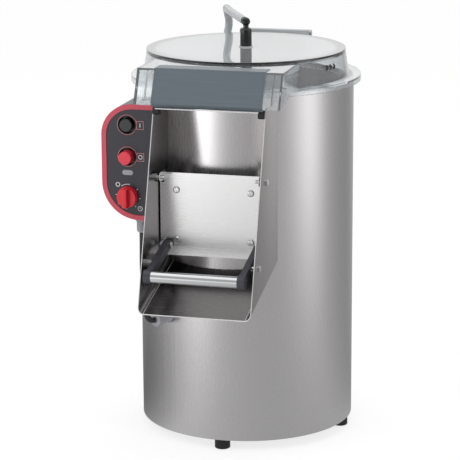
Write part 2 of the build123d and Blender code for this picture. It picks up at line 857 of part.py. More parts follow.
plate_back_y = door_y + sheet
door_screw_spots = [
    (-door_screw_x, door_screw_low_z),
    (door_screw_x, door_screw_low_z),
    (-door_screw_x, door_screw_high_z),
    (door_screw_x, door_screw_high_z),
]
with BuildPart() as door_plate:
    with BuildSketch(Plane.XZ.offset(-door_y)):
        with BuildLine():
            Polyline(
                (-door_half_width, door_bottom),
                (door_half_width, door_bottom),
                (door_half_width, door_shoulder_z),
                (door_shoulder_half_width, door_shoulder_z),
                (door_shoulder_half_width, door_top),
                (-door_shoulder_half_width, door_top),
                (-door_shoulder_half_width, door_shoulder_z),
                (-door_half_width, door_shoulder_z),
                close=True,
            )
        make_face()
    extrude(amount=-sheet)
    with BuildSketch(Plane.YZ.offset(ear_x - sheet)):
        for y, z in ((hinge_y, hinge_z), (pivot_y, pivot_z)):
            with Locations((y, z)):
                Circle(ear_radius)
            with Locations(((y + door_y + sheet) / 2, z)):
                Rectangle(door_y + sheet - y, 2 * ear_radius)
    extrude(amount=sheet)
    with BuildSketch(Plane.YZ.offset(ear_x - sheet)):
        for y, z, bore in ((hinge_y, hinge_z, hinge_pin_radius), (pivot_y, pivot_z, pivot_radius)):
            with Locations((y, z)):
                Circle(bore + running_clearance)
    extrude(amount=sheet, mode=Mode.SUBTRACT)
    mirror(about=Plane.YZ)
    with BuildSketch(Plane.XZ.offset(-door_y)):
        with Locations(*door_screw_spots):
            Circle(door_screw_radius + fixed_clearance)
    extrude(amount=-sheet, mode=Mode.SUBTRACT)
save(door_plate, "door_plate")

door_mid_z = (block_bottom + block_top) / 2
window_width = 2 * (block_half_width - block_rim)
window_height = block_top - block_bottom - 2 * block_rim
with BuildPart() as door_block:
    with BuildSketch(Plane.XY.offset(block_bottom)):
        with Locations((0, plate_back_y / 2)):
            Rectangle(2 * block_half_width, -plate_back_y)
        Circle(block_back_radius, mode=Mode.SUBTRACT)
        split(bisect_by=Plane.XZ)
    extrude(amount=block_top - block_bottom)
    with BuildSketch(Plane.XZ.offset(-(plate_back_y + block_face_thickness))):
        with Locations((0, door_mid_z)):
            RectangleRounded(window_width, window_height, block_window_corner)
    extrude(amount=plate_back_y + block_face_thickness, mode=Mode.SUBTRACT)
    with BuildSketch(Plane.XZ.offset(-plate_back_y)):
        with Locations(*door_screw_spots):
            Circle(door_screw_radius + fixed_clearance)
    extrude(amount=-(door_screw_length - sheet), mode=Mode.SUBTRACT)
save(door_block, "door_block")

with BuildPart() as door_gasket:
    with BuildSketch(Plane.XY.offset(block_bottom)):
        Circle(block_back_radius - fixed_clearance)
        Circle(body_radius + seat_gap, mode=Mode.SUBTRACT)
    extrude(amount=block_top - block_bottom)
    with BuildSketch(Plane.XZ):
        with Locations((0, door_mid_z)):
            Rectangle(2 * block_half_width, block_top - block_bottom)
            RectangleRounded(
                window_width + 2 * gasket_window_gap,
                window_height + 2 * gasket_window_gap,
                block_window_corner + gasket_window_gap,
                mode=Mode.SUBTRACT,
            )
    extrude(amount=2 * body_radius, mode=Mode.INTERSECT)
save(door_gasket, "door_gasket")

with BuildPart() as door_screws:
    with BuildSketch(Plane.XZ.offset(-door_y)):
        with Locations(*door_screw_spots):
            Circle(door_screw_radius)
    extrude(amount=-door_screw_length)
    with BuildSketch(Plane.XZ.offset(-door_y)):
        with Locations(*door_screw_spots):
            Circle(door_screw_head_radius)
    extrude(amount=door_screw_head_height)
    fillet(door_screws.edges().group_by(Axis.Y)[0], door_screw_head_round)
save(door_screws, "door_screws")

pivot_nut_x = arm_inner_x - seat_gap
with BuildPart() as handle_pivots:
    stepped_pin(
        pivot_y,
        pivot_z,
        (
            (pivot_radius, pivot_nut_x - pivot_nut_height, ear_x + small_nut_height, 0),
            (small_nut_radius, pivot_nut_x - pivot_nut_height, pivot_nut_x, 6),
            (small_nut_radius, ear_x, ear_x + small_nut_height, 6),
        ),
    )
save(handle_pivots, "handle_pivots")

# ---------------------------------------------------------------- handle

arm_angle = degrees(atan2(-tube_drop, -tube_reach))
arm_length = hypot(tube_reach, tube_drop)


def keeper_at(angle):
    """Where the keeper stands as seen from the door, with the door swung open by this many degrees."""
    y, z = keeper_y - hinge_y, keeper_z - hinge_z
    turn = radians(angle)
    return (hinge_y + y * cos(turn) - z * sin(turn), hinge_z + y * sin(turn) + z * cos(turn))


with BuildPart() as handle_arms:
    with BuildSketch(Plane.YZ.offset(arm_inner_x)):
        with Locations((pivot_y, pivot_z)):
            Circle(arm_half_height)
        with Locations(((pivot_y + tube_y) / 2, (pivot_z + tube_z) / 2)):
            Rectangle(arm_length, 2 * arm_half_height, rotation=arm_angle)
    extrude(amount=arm_outer_x - arm_inner_x)
    with BuildSketch(Plane.YZ.offset(arm_inner_x)):
        with Locations((tube_y, tube_z)):
            Circle(boss_radius)
    extrude(amount=boss_outer_x - arm_inner_x)
    with BuildSketch(Plane.YZ.offset(arm_outer_x - keeper_entry - seat_gap)):
        with Locations(
            (keeper_y, keeper_z),
            keeper_at(keeper_release_deg),
            (keeper_y, keeper_z - 2 * arm_half_height),
        ):
            Circle(keeper_radius + keeper_play)
        make_hull()
    extrude(amount=keeper_entry + seat_gap, mode=Mode.SUBTRACT)
    with BuildSketch(Plane.YZ.offset(arm_inner_x)):
        with Locations((pivot_y, pivot_z)):
            Circle(pivot_radius + running_clearance)
    extrude(amount=arm_outer_x - arm_inner_x, mode=Mode.SUBTRACT)
    with BuildSketch(Plane.YZ.offset(arm_inner_x)):
        with Locations((tube_y, tube_z)):
            Circle(tube_radius + fixed_clearance)
    extrude(amount=tube_socket, mode=Mode.SUBTRACT)
    mirror(about=Plane.YZ)
save(handle_arms, "handle_arms")

with BuildPart() as handle_tube:
    with BuildSketch(Plane.YZ.offset(-(arm_inner_x + tube_socket))):
        with Locations((tube_y, tube_z)):
            Circle(tube_radius)
            Circle(tube_radius - sheet, mode=Mode.SUBTRACT)
    extrude(amount=2 * (arm_inner_x + tube_socket))
save(handle_tube, "handle_tube")

# ---------------------------------------------------------------- lid

nose_slope = atan2(nose_bottom_reach - nose_top_reach, disc_bottom - nose_bottom_z)
nose_top_y = -(body_radius + nose_top_reach)
wall_shift = lid_wall / cos(nose_slope)
window_back_y = nose_top_y + hood_top_depth
nose_cut_z = nose_bottom_z - lid_wall
strap_screw_y = body_radius + flange_overhang / 2
strap_screw_spots = [(-strap_screw_x, strap_screw_y), (strap_screw_x, strap_screw_y)]


def nose_front_y(z):
    """The nose's sloping front face at height z."""
    return nose_top_y - (disc_bottom - z) * tan(nose_slope)


with BuildPart() as skirt_core:
    with BuildSketch(Plane.XZ):
        with BuildLine():
            Polyline(
                (0, nose_cut_z - cut_over),
                (skirt_radius - lid_wall / 2, nose_cut_z - cut_over),
                (skirt_radius - lid_wall / 2, flange_top),
                (skirt_top_radius - lid_wall / 2, disc_top),
                (0, disc_top),
                close=True,
            )
        make_face()
    revolve(axis=Axis.Z)

with BuildPart() as nose_space:
    with BuildSketch(Plane.YZ.offset(-(nose_half_width - lid_wall))):
        with BuildLine():
            Polyline(
                (nose_root_y, disc_bottom - lid_wall),
                (nose_front_y(disc_bottom - lid_wall) + wall_shift, disc_bottom - lid_wall),
                (nose_front_y(nose_cut_z) + wall_shift, nose_cut_z),
                (nose_root_y, nose_cut_z),
                close=True,
            )
        make_face()
    extrude(amount=2 * (nose_half_width - lid_wall))

with BuildPart() as nose_shell:
    with BuildSketch(Plane.YZ.offset(-nose_half_width)):
        with BuildLine():
            Polyline(
                (nose_root_y, disc_bottom),
                (nose_top_y, disc_bottom),
                (nose_front_y(nose_bottom_z), nose_bottom_z),
                (nose_front_y(nose_bottom_z) + wall_shift, nose_bottom_z),
                (-body_radius - seat_gap, nose_side_bottom_z),
                (-body_radius - seat_gap, flange_bottom + flange_thickness / 2),
                (nose_root_y, flange_bottom + flange_thickness / 2),
                close=True,
            )
        make_face()
    extrude(amount=2 * nose_half_width)
    add(nose_space.part, mode=Mode.SUBTRACT)
    add(skirt_core.part, mode=Mode.SUBTRACT)

with BuildPart() as lid_cover:
    with BuildSketch(Plane.XZ):
        with BuildLine():
            Polyline(
                (flange_radius, flange_bottom - lip_drop),
                (flange_radius, flange_top),
                (skirt_radius, flange_top),
                (skirt_top_radius, disc_bottom),
                (seat_radius, disc_bottom),
                (seat_radius, disc_bottom - lid_wall),
                (skirt_top_radius - lid_wall, disc_bottom - lid_wall),
                (skirt_radius - lid_wall, flange_top),
                (skirt_radius - lid_wall, flange_bottom),
                (flange_radius - lip_thickness, flange_bottom),
                (flange_radius - lip_thickness, flange_bottom - lip_drop),
                close=True,
            )
        make_face()
    revolve(axis=Axis.Z)
    with BuildSketch(Plane.XY.offset(flange_bottom - lip_drop)):
        with Locations((0, body_radius)):
            Rectangle(2 * lip_relief_half_width, body_radius / 2)
    extrude(amount=lip_drop, mode=Mode.SUBTRACT)
    add(nose_shell.part)
    with BuildSketch(Plane.XY.offset(nose_cut_z)):
        with Locations((0, window_back_y)):
            Rectangle(2 * (hood_half_width + seat_gap), body_radius, align=(Align.CENTER, Align.MAX))
    extrude(amount=disc_bottom - nose_cut_z, mode=Mode.SUBTRACT)
    with BuildSketch(Plane.XY.offset(flange_bottom)):
        with Locations(*strap_screw_spots):
            Circle(strap_screw_radius + fixed_clearance)
    extrude(amount=flange_thickness, mode=Mode.SUBTRACT)
save(lid_cover, "lid_cover")

with BuildPart() as lid_disc:
    with BuildSketch(Plane.XY.offset(disc_bottom)):
        Circle(disc_radius)
        Circle(elbow_stem_radius + fixed_clearance, mode=Mode.SUBTRACT)
    extrude(amount=disc_thickness)
save(lid_disc, "lid_disc")

with BuildPart() as lid_seal:
    with BuildSketch(Plane.XY.offset(flange_bottom - seal_drop)):
        Circle(seal_radius)
        Circle(seal_radius - seal_width, mode=Mode.SUBTRACT)
        with Locations((0, nose_root_y)):
            Rectangle(2 * nose_half_width, body_radius, align=(Align.CENTER, Align.MAX), mode=Mode.SUBTRACT)
    extrude(amount=seal_drop)
save(lid_seal, "lid_seal")

hood_top_z = disc_bottom + hood_proud
hood_shift = hood_thickness / cos(nose_slope)
hood_corner_z = nose_bottom_z + hood_thickness
hood_corner_y = nose_front_y(hood_corner_z) - hood_proud / cos(nose_slope)
bevel_inset = hood_thickness / sqrt(2)


def hood_front_y(z):
    """The hood's sloping outer face at height z."""
    return nose_front_y(z) - hood_proud / cos(nose_slope)


with BuildPart() as hood:
    with BuildSketch(Plane.YZ.offset(-hood_half_width)):
        with BuildLine():
            Polyline(
                (window_back_y - seat_gap, hood_top_z),
                (hood_front_y(hood_top_z), hood_top_z),
                (hood_corner_y, hood_corner_z),
                (hood_corner_y + hood_bevel, hood_corner_z - hood_bevel),
                (hood_corner_y + hood_bevel + bevel_inset, hood_corner_z - hood_bevel + bevel_inset),
                (hood_front_y(hood_corner_z + bevel_inset) + hood_shift, hood_corner_z + bevel_inset),
                (hood_front_y(hood_top_z - hood_thickness) + hood_shift, hood_top_z - hood_thickness),
                (window_back_y - seat_gap, hood_top_z - hood_thickness),
                close=True,
            )
        make_face()
    extrude(amount=2 * hood_half_width)
save(hood, "hood")

# ---------------------------------------------------------------- lid hinge

hinge_half = hinge_bar_size / 2
cheek_inner_x = hinge_bar_half_length + seat_gap
cheek_outer_x = cheek_inner_x + cheek_thickness
shelf_bracket_z = shell_top - hinge_bar_size
with BuildPart() as hinge_bracket:
    with BuildSketch(Plane.YZ.offset(cheek_inner_x)):
        with BuildLine():
            Polyline(
                (body_radius / 2, cheek_bottom_z),
                (body_radius, cheek_bottom_z),
                (lid_axis_y + hinge_half, cheek_bottom_z + hinge_axis_reach),
                (lid_axis_y + hinge_half, hinge_axis_z),
                (lid_axis_y - hinge_half, hinge_axis_z),
                (lid_axis_y - hinge_half, shelf_bracket_z + hinge_half),
                (lid_axis_y - 2 * hinge_half, shelf_bracket_z),
                (body_radius / 2, shelf_bracket_z),
                close=True,
            )
        make_face()
        with Locations((lid_axis_y, hinge_axis_z)):
            Circle(hinge_half)
            Circle(hinge_rod_radius + fixed_clearance, mode=Mode.SUBTRACT)
    extrude(amount=cheek_thickness)
    mirror(about=Plane.YZ)
    with BuildSketch(Plane.XY.offset(shelf_bracket_z - cheek_thickness)):
        with Locations((0, body_radius / 2)):
            Rectangle(
                2 * cheek_inner_x,
                lid_axis_y + hinge_half - body_radius / 2,
                align=(Align.CENTER, Align.MIN),
            )
    extrude(amount=cheek_thickness)
    Cylinder(body_radius, shell_top, align=on_floor, mode=Mode.SUBTRACT)
save(hinge_bracket, "hinge_bracket")

with BuildPart() as hinge_rod:
    with BuildSketch(Plane.YZ.offset(-cheek_outer_x)):
        with Locations((lid_axis_y, hinge_axis_z)):
            Circle(hinge_rod_radius)
    extrude(amount=2 * cheek_outer_x)
save(hinge_rod, "hinge_rod")

with BuildPart() as hinge_bar:
    with BuildSketch(Plane.YZ.offset(-hinge_bar_half_length)):
        with Locations((lid_axis_y, hinge_axis_z)):
            RectangleRounded(hinge_bar_size, hinge_bar_size, hinge_bar_corner)
            Circle(hinge_rod_radius + running_clearance, mode=Mode.SUBTRACT)
    extrude(amount=2 * hinge_bar_half_length)
save(hinge_bar, "hinge_bar")

strap_front_y = skirt_radius + strap_front_gap
with BuildPart() as hinge_strap:
    with BuildSketch(Plane.YZ.offset(-strap_half_width)):
        with BuildLine():
            Polyline(
                (strap_front_y, flange_top),
                (lid_axis_y, flange_top),
                (lid_axis_y, hinge_axis_z - hinge_half),
                (lid_axis_y - strap_thickness, hinge_axis_z - hinge_half),
                (lid_axis_y - strap_thickness, flange_top + strap_thickness),
                (strap_front_y, flange_top + strap_thickness),
                close=True,
            )
        make_face()
    extrude(amount=2 * strap_half_width)
    with BuildSketch(Plane.XY.offset(flange_top)):
        with Locations(*strap_screw_spots):
            Circle(strap_screw_radius + fixed_clearance)
    extrude(amount=strap_thickness, mode=Mode.SUBTRACT)
save(hinge_strap, "hinge_strap")

with BuildPart() as strap_screws:
    with BuildSketch(Plane.XY.offset(flange_bottom)):
        with Locations(*strap_screw_spots):
            Circle(strap_screw_radius)
    extrude(amount=flange_thickness + strap_thickness + strap_screw_head_height)
    with BuildSketch(Plane.XY.offset(flange_top + strap_thickness)):
        with Locations(*strap_screw_spots):
            Circle(strap_screw_head_radius)
    extrude(amount=strap_screw_head_height)
save(strap_screws, "strap_screws")

# ---------------------------------------------------------------- water fittings

ball = Vector(0, 0, elbow_ball_z)
hose_way = (Vector(*hose_points[0]) - ball).normalized()
with BuildPart() as water_elbow:
    with BuildSketch(Plane.XY.offset(disc_bottom - elbow_nut_height)):
        Circle(elbow_stem_radius)
    extrude(amount=elbow_nut_height + disc_thickness)
    with BuildSketch(Plane.XY.offset(disc_top)):
        Circle(elbow_radius)
    extrude(amount=elbow_height)
    chamfer(water_elbow.edges().group_by(Axis.Z)[-1], elbow_chamfer)
    with BuildSketch(Plane.XY.offset(disc_top + elbow_height)):
        Circle(elbow_neck_radius)
    extrude(amount=elbow_ball_z - disc_top - elbow_height)
    with Locations(ball):
        Sphere(elbow_ball_radius)
    with BuildSketch(Plane(origin=ball, z_dir=hose_way)):
        Circle(hose_spigot_radius)
    extrude(amount=hose_start)
save(water_elbow, "water_elbow")

nozzle_top = disc_bottom - elbow_nut_height
with BuildPart() as spray_nozzle:
    with BuildSketch(Plane.XY.offset(nozzle_top - nozzle_height)):
        Circle(nozzle_radius)
    extrude(amount=nozzle_height)
    chamfer(spray_nozzle.edges().group_by(Axis.Z)[0], nozzle_chamfer)
    with BuildSketch(Plane.XY.offset(nozzle_top)):
        RegularPolygon(elbow_nut_radius, 6)
        Circle(elbow_stem_radius + fixed_clearance, mode=Mode.SUBTRACT)
    extrude(amount=elbow_nut_height)
save(spray_nozzle, "spray_nozzle")

hose_end = (valve_x, valve_y, valve_top + valve_spigot_length)
with BuildPart() as water_hose:
    with BuildLine() as hose_route:
        cord_path([tuple(ball + hose_way * hose_start), *hose_points, hose_end])
    with BuildSketch(Plane(origin=hose_route.line @ 0, z_dir=hose_route.line % 0)):
        Circle(hose_radius)
    sweep(path=hose_route.line)
save(water_hose, "water_hose")

with BuildPart() as valve_bracket:
    with BuildSketch(Plane.XY.offset(valve_top - bracket_height)):
        with Locations((valve_x, valve_y - valve_depth / 2)):
            Rectangle(bracket_width, body_radius / 2, align=(Align.CENTER, Align.MAX))
    extrude(amount=bracket_height)
    Cylinder(body_radius, shell_top, align=on_floor, mode=Mode.SUBTRACT)
save(valve_bracket, "valve_bracket")

valve_bottom = valve_top - valve_height
with BuildPart() as water_valve:
    with BuildSketch(Plane.XY.offset(valve_bottom)):
        with Locations((valve_x, valve_y)):
            RectangleRounded(valve_width, valve_depth, valve_corner)
    extrude(amount=valve_height)
    with BuildSketch(Plane.XY.offset(valve_top)):
        with Locations((valve_x, valve_y)):
            Circle(valve_spigot_radius)
    extrude(amount=valve_spigot_length)
    with BuildSketch(Plane.XY.offset(valve_bottom)):
        with Locations((valve_x, valve_y)):
            Circle(inlet_radius)
            Circle(inlet_bore, mode=Mode.SUBTRACT)
    extrude(amount=-inlet_length)
    with BuildSketch(Plane.XZ.offset(-(valve_y + valve_depth / 2))):
        with Locations((valve_x, valve_top - valve_height / 2)):
            Circle(coil_radius)
    extrude(amount=-coil_length)
save(water_valve, "water_valve")

# ---------------------------------------------------------------- lid switch

switch_z = flange_bottom - switch_drop - switch_height / 2
magnet_z = flange_bottom - magnet_height / 2
with BuildPart() as lid_switch:
    with BuildSketch(radial_plane(switch_angle, body_radius - switch_sink, switch_z)):
        Rectangle(2 * switch_half_width, switch_height)
    extrude(amount=switch_depth + switch_sink)
    Cylinder(body_radius, shell_top, align=on_floor, mode=Mode.SUBTRACT)
save(lid_switch, "lid_switch")

with BuildPart() as lid_magnet:
    with BuildSketch(radial_plane(switch_angle, body_radius + magnet_start, magnet_z)):
        Rectangle(2 * magnet_half_width, magnet_height)
    extrude(amount=magnet_depth)
save(lid_magnet, "lid_magnet")

# ---------------------------------------------------------------- control box


def panel_outline(inset, right):
    """The box's outline seen from the front: square at the right, two large radii at the left."""
    left, low, high = panel_left + inset, panel_bottom + inset, panel_top - inset
    low_radius, high_radius = panel_bottom_radius - inset, panel_top_radius - inset
    with BuildLine() as edge:
        Polyline((left + low_radius, low), (right, low), (right, high), (left + high_radius, high))
        CenterArc((left + high_radius, high - high_radius), high_radius, 90, 90)
        Line((left, high - high_radius), (left, low + low_radius))
        CenterArc((left + low_radius, low + low_radius), low_radius, 180, 90)
    make_face(edge.edges())


with BuildPart() as box_space:
    with BuildSketch(Plane.XZ.offset(-box_front_y)):
        panel_outline(box_wall, panel_right - box_wall)
    extrude(amount=-(box_depth - box_wall))
    Cylinder(body_radius + box_wall, panel_top, align=on_floor, mode=Mode.SUBTRACT)

with BuildPart() as control_box:
    with BuildSketch(Plane.XZ.offset(-box_front_y)):
        panel_outline(0, panel_right)
    extrude(amount=-box_depth)
    Cylinder(body_radius, panel_top, align=on_floor, mode=Mode.SUBTRACT)
    add(box_space.part, mode=Mode.SUBTRACT)
save(control_box, "control_box")

with BuildPart() as panel_face:
    with BuildSketch(Plane.XZ.offset(-box_front_y)):
        panel_outline(0, panel_right)
        with Locations((control_x, start_z), (control_x, stop_z)):
            Circle(collar_radius + fixed_clearance, mode=Mode.SUBTRACT)
        with Locations((control_x, timer_z)):
            Circle(timer_shaft_radius + running_clearance, mode=Mode.SUBTRACT)
    extrude(amount=panel_thickness)
save(panel_face, "panel_face")

with BuildPart() as panel_border:
    with BuildSketch(Plane.XZ.offset(-panel_y)) as border_outer:
        panel_outline(0, panel_right)
    extrude(amount=border_proud)
    with BuildSketch(Plane.XZ.offset(-panel_y)) as border_inner:
        panel_outline(border_width, panel_right + cut_over)
    extrude(amount=border_proud, mode=Mode.SUBTRACT)
save(panel_border, "panel_border")

collar_back_y = panel_y + collar_depth
with BuildPart() as button_collars:
    with BuildSketch(Plane.XZ.offset(-collar_back_y)):
        with Locations((control_x, start_z), (control_x, stop_z)):
            Circle(collar_radius)
            Circle(stem_radius + 2 * fixed_clearance, mode=Mode.SUBTRACT)
    extrude(amount=collar_depth + border_proud)
    with BuildSketch(Plane.XZ.offset(-(collar_back_y - collar_floor))):
        with Locations((control_x, start_z), (control_x, stop_z)):
            Circle(collar_radius - collar_wall)
    extrude(amount=collar_depth + border_proud, mode=Mode.SUBTRACT)
save(button_collars, "button_collars")

with BuildPart() as button_contacts:
    with BuildSketch(Plane.XZ.offset(-collar_back_y)):
        with Locations((control_x, start_z), (control_x, stop_z)):
            Rectangle(contact_size, contact_size)
    extrude(amount=-(stem_length + button_travel + seat_gap + contact_wall))
    with BuildSketch(Plane.XZ.offset(-collar_back_y)):
        with Locations((control_x, start_z), (control_x, stop_z)):
            Circle(stem_radius + 2 * fixed_clearance)
    extrude(amount=-(stem_length + button_travel + seat_gap), mode=Mode.SUBTRACT)
save(button_contacts, "button_contacts")

for name, z, front in (("start_button", start_z, start_cap_front), ("stop_button", stop_z, stop_cap_front)):
    with BuildPart() as button:
        with BuildSketch(Plane.XZ.offset(-(panel_y + cap_back))):
            with Locations((control_x, z)):
                Circle(cap_radius)
        extrude(amount=cap_back + front)
        chamfer(button.edges().group_by(Axis.Y)[0], cap_chamfer)
        with BuildSketch(Plane.XZ.offset(-(panel_y + cap_back))):
            with Locations((control_x, z)):
                Circle(stem_radius)
        extrude(amount=-(collar_depth - cap_back + stem_length))
    save(button, name)

knob_front_y = panel_y - knob_gap
timer_entry = timer_depth / 2
with BuildPart() as timer_knob:
    with BuildSketch(Plane.XZ.offset(-knob_front_y)):
        with Locations((control_x, timer_z)):
            Circle(knob_radius)
    extrude(amount=knob_skirt_height)
    with BuildSketch(Plane.XZ.offset(-(knob_front_y - knob_skirt_height))):
        with Locations((control_x, timer_z)):
            Circle(knob_radius - knob_step)
    extrude(amount=knob_height - knob_skirt_height)
    with BuildSketch(Plane.XZ.offset(-(knob_front_y - knob_height))):
        with Locations((control_x, timer_z)):
            Rectangle(knob_grip_width, 2 * (knob_radius - knob_grip_inset))
    extrude(amount=knob_grip_height)
    chamfer(timer_knob.edges().group_by(Axis.Y)[0], knob_chamfer)
    with BuildSketch(Plane.XZ.offset(-knob_front_y)):
        with Locations((control_x, timer_z)):
            Circle(timer_shaft_radius)
    extrude(amount=-(knob_gap + panel_thickness + timer_entry))
save(timer_knob, "timer_knob")

with BuildPart() as timer_unit:
    with BuildSketch(Plane.XZ.offset(-box_front_y)):
        with Locations((control_x, timer_z)):
            RectangleRounded(timer_width, timer_width, timer_corner)
            Circle(timer_shaft_radius + running_clearance, mode=Mode.SUBTRACT)
    extrude(amount=-timer_depth)
save(timer_unit, "timer_unit")

# ---------------------------------------------------------------- glands and cable

gland_face_radius = body_radius + low_gland_length
with BuildPart() as cable_glands:
    with BuildSketch(Plane.XY.offset(panel_bottom - gland_nut_height)):
        with Locations((gland_x, gland_y)):
            RegularPolygon(gland_nut_radius, 6)
    extrude(amount=gland_nut_height)
    with BuildSketch(Plane.XY.offset(panel_bottom - gland_length)):
        with Locations((gland_x, gland_y)):
            Circle(gland_tip_radius)
    extrude(amount=gland_length - gland_nut_height)
    chamfer(cable_glands.edges().group_by(Axis.Z)[0], gland_chamfer)
    with BuildSketch(radial_plane(low_gland_angle, body_radius - low_gland_entry, low_gland_z)):
        Circle(low_gland_thread_radius)
    extrude(amount=low_gland_entry + low_gland_length / 2)
    with BuildSketch(radial_plane(low_gland_angle, body_radius + low_gland_length / 2, low_gland_z)):
        Circle(gland_nut_radius)
    extrude(amount=low_gland_length / 2)
    chamfer(cable_glands.edges().filter_by(GeomType.CIRCLE).sort_by(Axis.Y)[0], gland_chamfer)
    with BuildSketch(radial_plane(low_gland_angle, body_radius + gland_hex_gap, low_gland_z)):
        RegularPolygon(gland_nut_radius, 6)
    extrude(amount=gland_hex_width)
    with BuildSketch(radial_plane(supply_angle, body_radius + seat_gap, supply_z)):
        Circle(supply_radius)
    extrude(amount=supply_length)
    with BuildSketch(radial_plane(supply_angle, body_radius - low_gland_entry, supply_z)):
        Circle(supply_bore)
        Circle(supply_bore - supply_wall, mode=Mode.SUBTRACT)
    extrude(amount=low_gland_entry + seat_gap)
    with BuildSketch(radial_plane(supply_angle, body_radius + seat_gap, supply_z)):
        Circle(supply_bore - supply_wall)
    extrude(amount=supply_length, mode=Mode.SUBTRACT)
save(cable_glands, "cable_glands")

cable_start = on_drum(low_gland_angle, gland_face_radius, low_gland_z)
cable_turn = on_drum(low_gland_angle, gland_face_radius + cable_run_out, low_gland_z)
cable_end = (gland_x, gland_y, panel_bottom - gland_length)
with BuildPart() as control_cable:
    with BuildLine() as cable_route:
        cord_path([cable_start, cable_turn, *cable_points, cable_end])
    with BuildSketch(Plane(origin=cable_route.line @ 0, z_dir=cable_route.line % 0)):
        Circle(cable_radius)
    sweep(path=cable_route.line)
save(control_cable, "control_cable")

for label, route, tube, radius in (
    ("hose", hose_route, water_hose, hose_radius),
    ("cable", cable_route, control_cable, cable_radius),
):
    length = sum(edge.length for edge in route.edges())
    print(label, "volume", round(tube.part.volume), "section times length", round(pi * radius**2 * length))
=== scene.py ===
# %% [markdown]
# # Electric potato peeler
# A brushed steel drum on rubber feet, a clear lid with a water hose, a chute with a lifting door,
# and a control box on its left. The CAD model gives every place and size. This lesson gives each
# piece its edges, its finish and its small details. Lengths are written in millimetres and turned
# to metres once.

# %% Load the fixed frame
import bmesh
import bpy
import json
from math import cos, pi, radians, sin
from mathutils import Matrix, Vector

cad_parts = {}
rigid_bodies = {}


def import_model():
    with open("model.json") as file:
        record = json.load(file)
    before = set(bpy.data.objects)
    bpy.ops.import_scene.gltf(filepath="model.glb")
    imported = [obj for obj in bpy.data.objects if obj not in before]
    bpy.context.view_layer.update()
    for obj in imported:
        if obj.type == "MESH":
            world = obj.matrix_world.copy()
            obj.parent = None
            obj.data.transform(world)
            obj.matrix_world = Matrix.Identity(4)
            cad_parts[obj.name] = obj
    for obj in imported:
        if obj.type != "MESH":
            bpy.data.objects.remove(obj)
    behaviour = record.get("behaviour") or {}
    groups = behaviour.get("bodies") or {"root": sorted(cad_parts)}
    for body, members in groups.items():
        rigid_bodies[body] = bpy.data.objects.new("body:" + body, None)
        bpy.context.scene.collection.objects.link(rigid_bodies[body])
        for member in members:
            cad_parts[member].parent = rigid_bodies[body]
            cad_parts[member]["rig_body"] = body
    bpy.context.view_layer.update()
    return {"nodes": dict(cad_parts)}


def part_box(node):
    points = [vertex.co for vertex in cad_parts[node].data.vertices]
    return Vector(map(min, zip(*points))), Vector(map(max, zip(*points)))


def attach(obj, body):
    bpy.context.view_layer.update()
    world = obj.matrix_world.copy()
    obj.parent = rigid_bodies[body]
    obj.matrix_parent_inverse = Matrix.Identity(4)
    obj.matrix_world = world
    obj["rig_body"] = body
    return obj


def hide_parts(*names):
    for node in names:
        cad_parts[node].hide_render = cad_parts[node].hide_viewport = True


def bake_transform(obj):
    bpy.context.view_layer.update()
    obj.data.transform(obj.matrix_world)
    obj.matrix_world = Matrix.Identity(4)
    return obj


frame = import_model()
MM = 0.001

# %% [markdown]
# ## Small helpers
# A colour is written as the hex value that it has on a screen, and one function turns it to the
# linear values that the renderer works in. Two more make an object and an empty node tree. The last
# one adds a node with its settings and its links, and all trees below are made with it.

# %% Colours, objects and nodes


def linear(hex_colour):
    """An sRGB hex value such as "#c8c8c8" as linear red, green, blue and 1."""
    channels = [int(hex_colour[i:i + 2], 16) / 255 for i in (1, 3, 5)]
    return (*[c / 12.92 if c <= 0.04045 else ((c + 0.055) / 1.055) ** 2.4 for c in channels], 1.0)


def new_object(name, data):
    """An object that holds this mesh, curve, lamp or camera, in the scene."""
    made = bpy.data.objects.new(name, data)
    bpy.context.scene.collection.objects.link(made)
    return made


def empty_tree(owner):
    """The node tree of a material or a world, with nothing in it."""
    owner.use_nodes = True
    owner.node_tree.nodes.clear()
    return owner.node_tree


def add(tree, kind, inputs=None, **settings):
    """Adds a node, sets it, and links or sets its inputs."""
    node = tree.nodes.new(kind)
    for key, value in settings.items():
        setattr(node, key, value)
    for key, value in (inputs or {}).items():
        if isinstance(value, bpy.types.NodeSocket):
            tree.links.new(value, node.inputs[key])
        else:
            node.inputs[key].default_value = value
    return node


print("mid grey #808080 is", round(linear("#808080")[0], 3), "in linear light")

# %% [markdown]
# ## Camera
# The lens is long, as for a product shot, so that upright edges stay nearly parallel. It stands to
# the front and a little to the object's right, and looks down at the lid.

# %% Camera
CAMERA_PLACE = (0.960, -3.671, 1.290)                           # metres
CAMERA_DOWN, CAMERA_TURN, CAMERA_ROLL = 13.75, 15.12, -0.33     # degrees
CAMERA_LENS = 165.7                                             # millimetres
camera = new_object("camera", bpy.data.cameras.new("camera"))
camera.data.lens = CAMERA_LENS
tilted = Matrix.Rotation(radians(90 - CAMERA_DOWN), 4, "X")
turned = Matrix.Rotation(radians(CAMERA_TURN), 4, "Z") @ tilted
rolled = Matrix.Rotation(radians(CAMERA_ROLL), 4, "Z")
camera.matrix_world = Matrix.Translation(CAMERA_PLACE) @ turned @ rolled
bpy.context.scene.camera = camera
bpy.context.scene.view_settings.view_transform = "Standard"
print("camera at", CAMERA_PLACE)

# %% [markdown]
# ## Finishes
# Each finish starts from one function that gives a new material its shader and the object's own
# coordinates. Brushed steel is drawn by noise that is stretched along the brushing, so the lines
# are long one way and fine the other. Real brushing lines are 0.1 mm wide: here they are 0.5 to 1
# mm, to show at all.

# %% A finish and its parts
FINISHES = {}


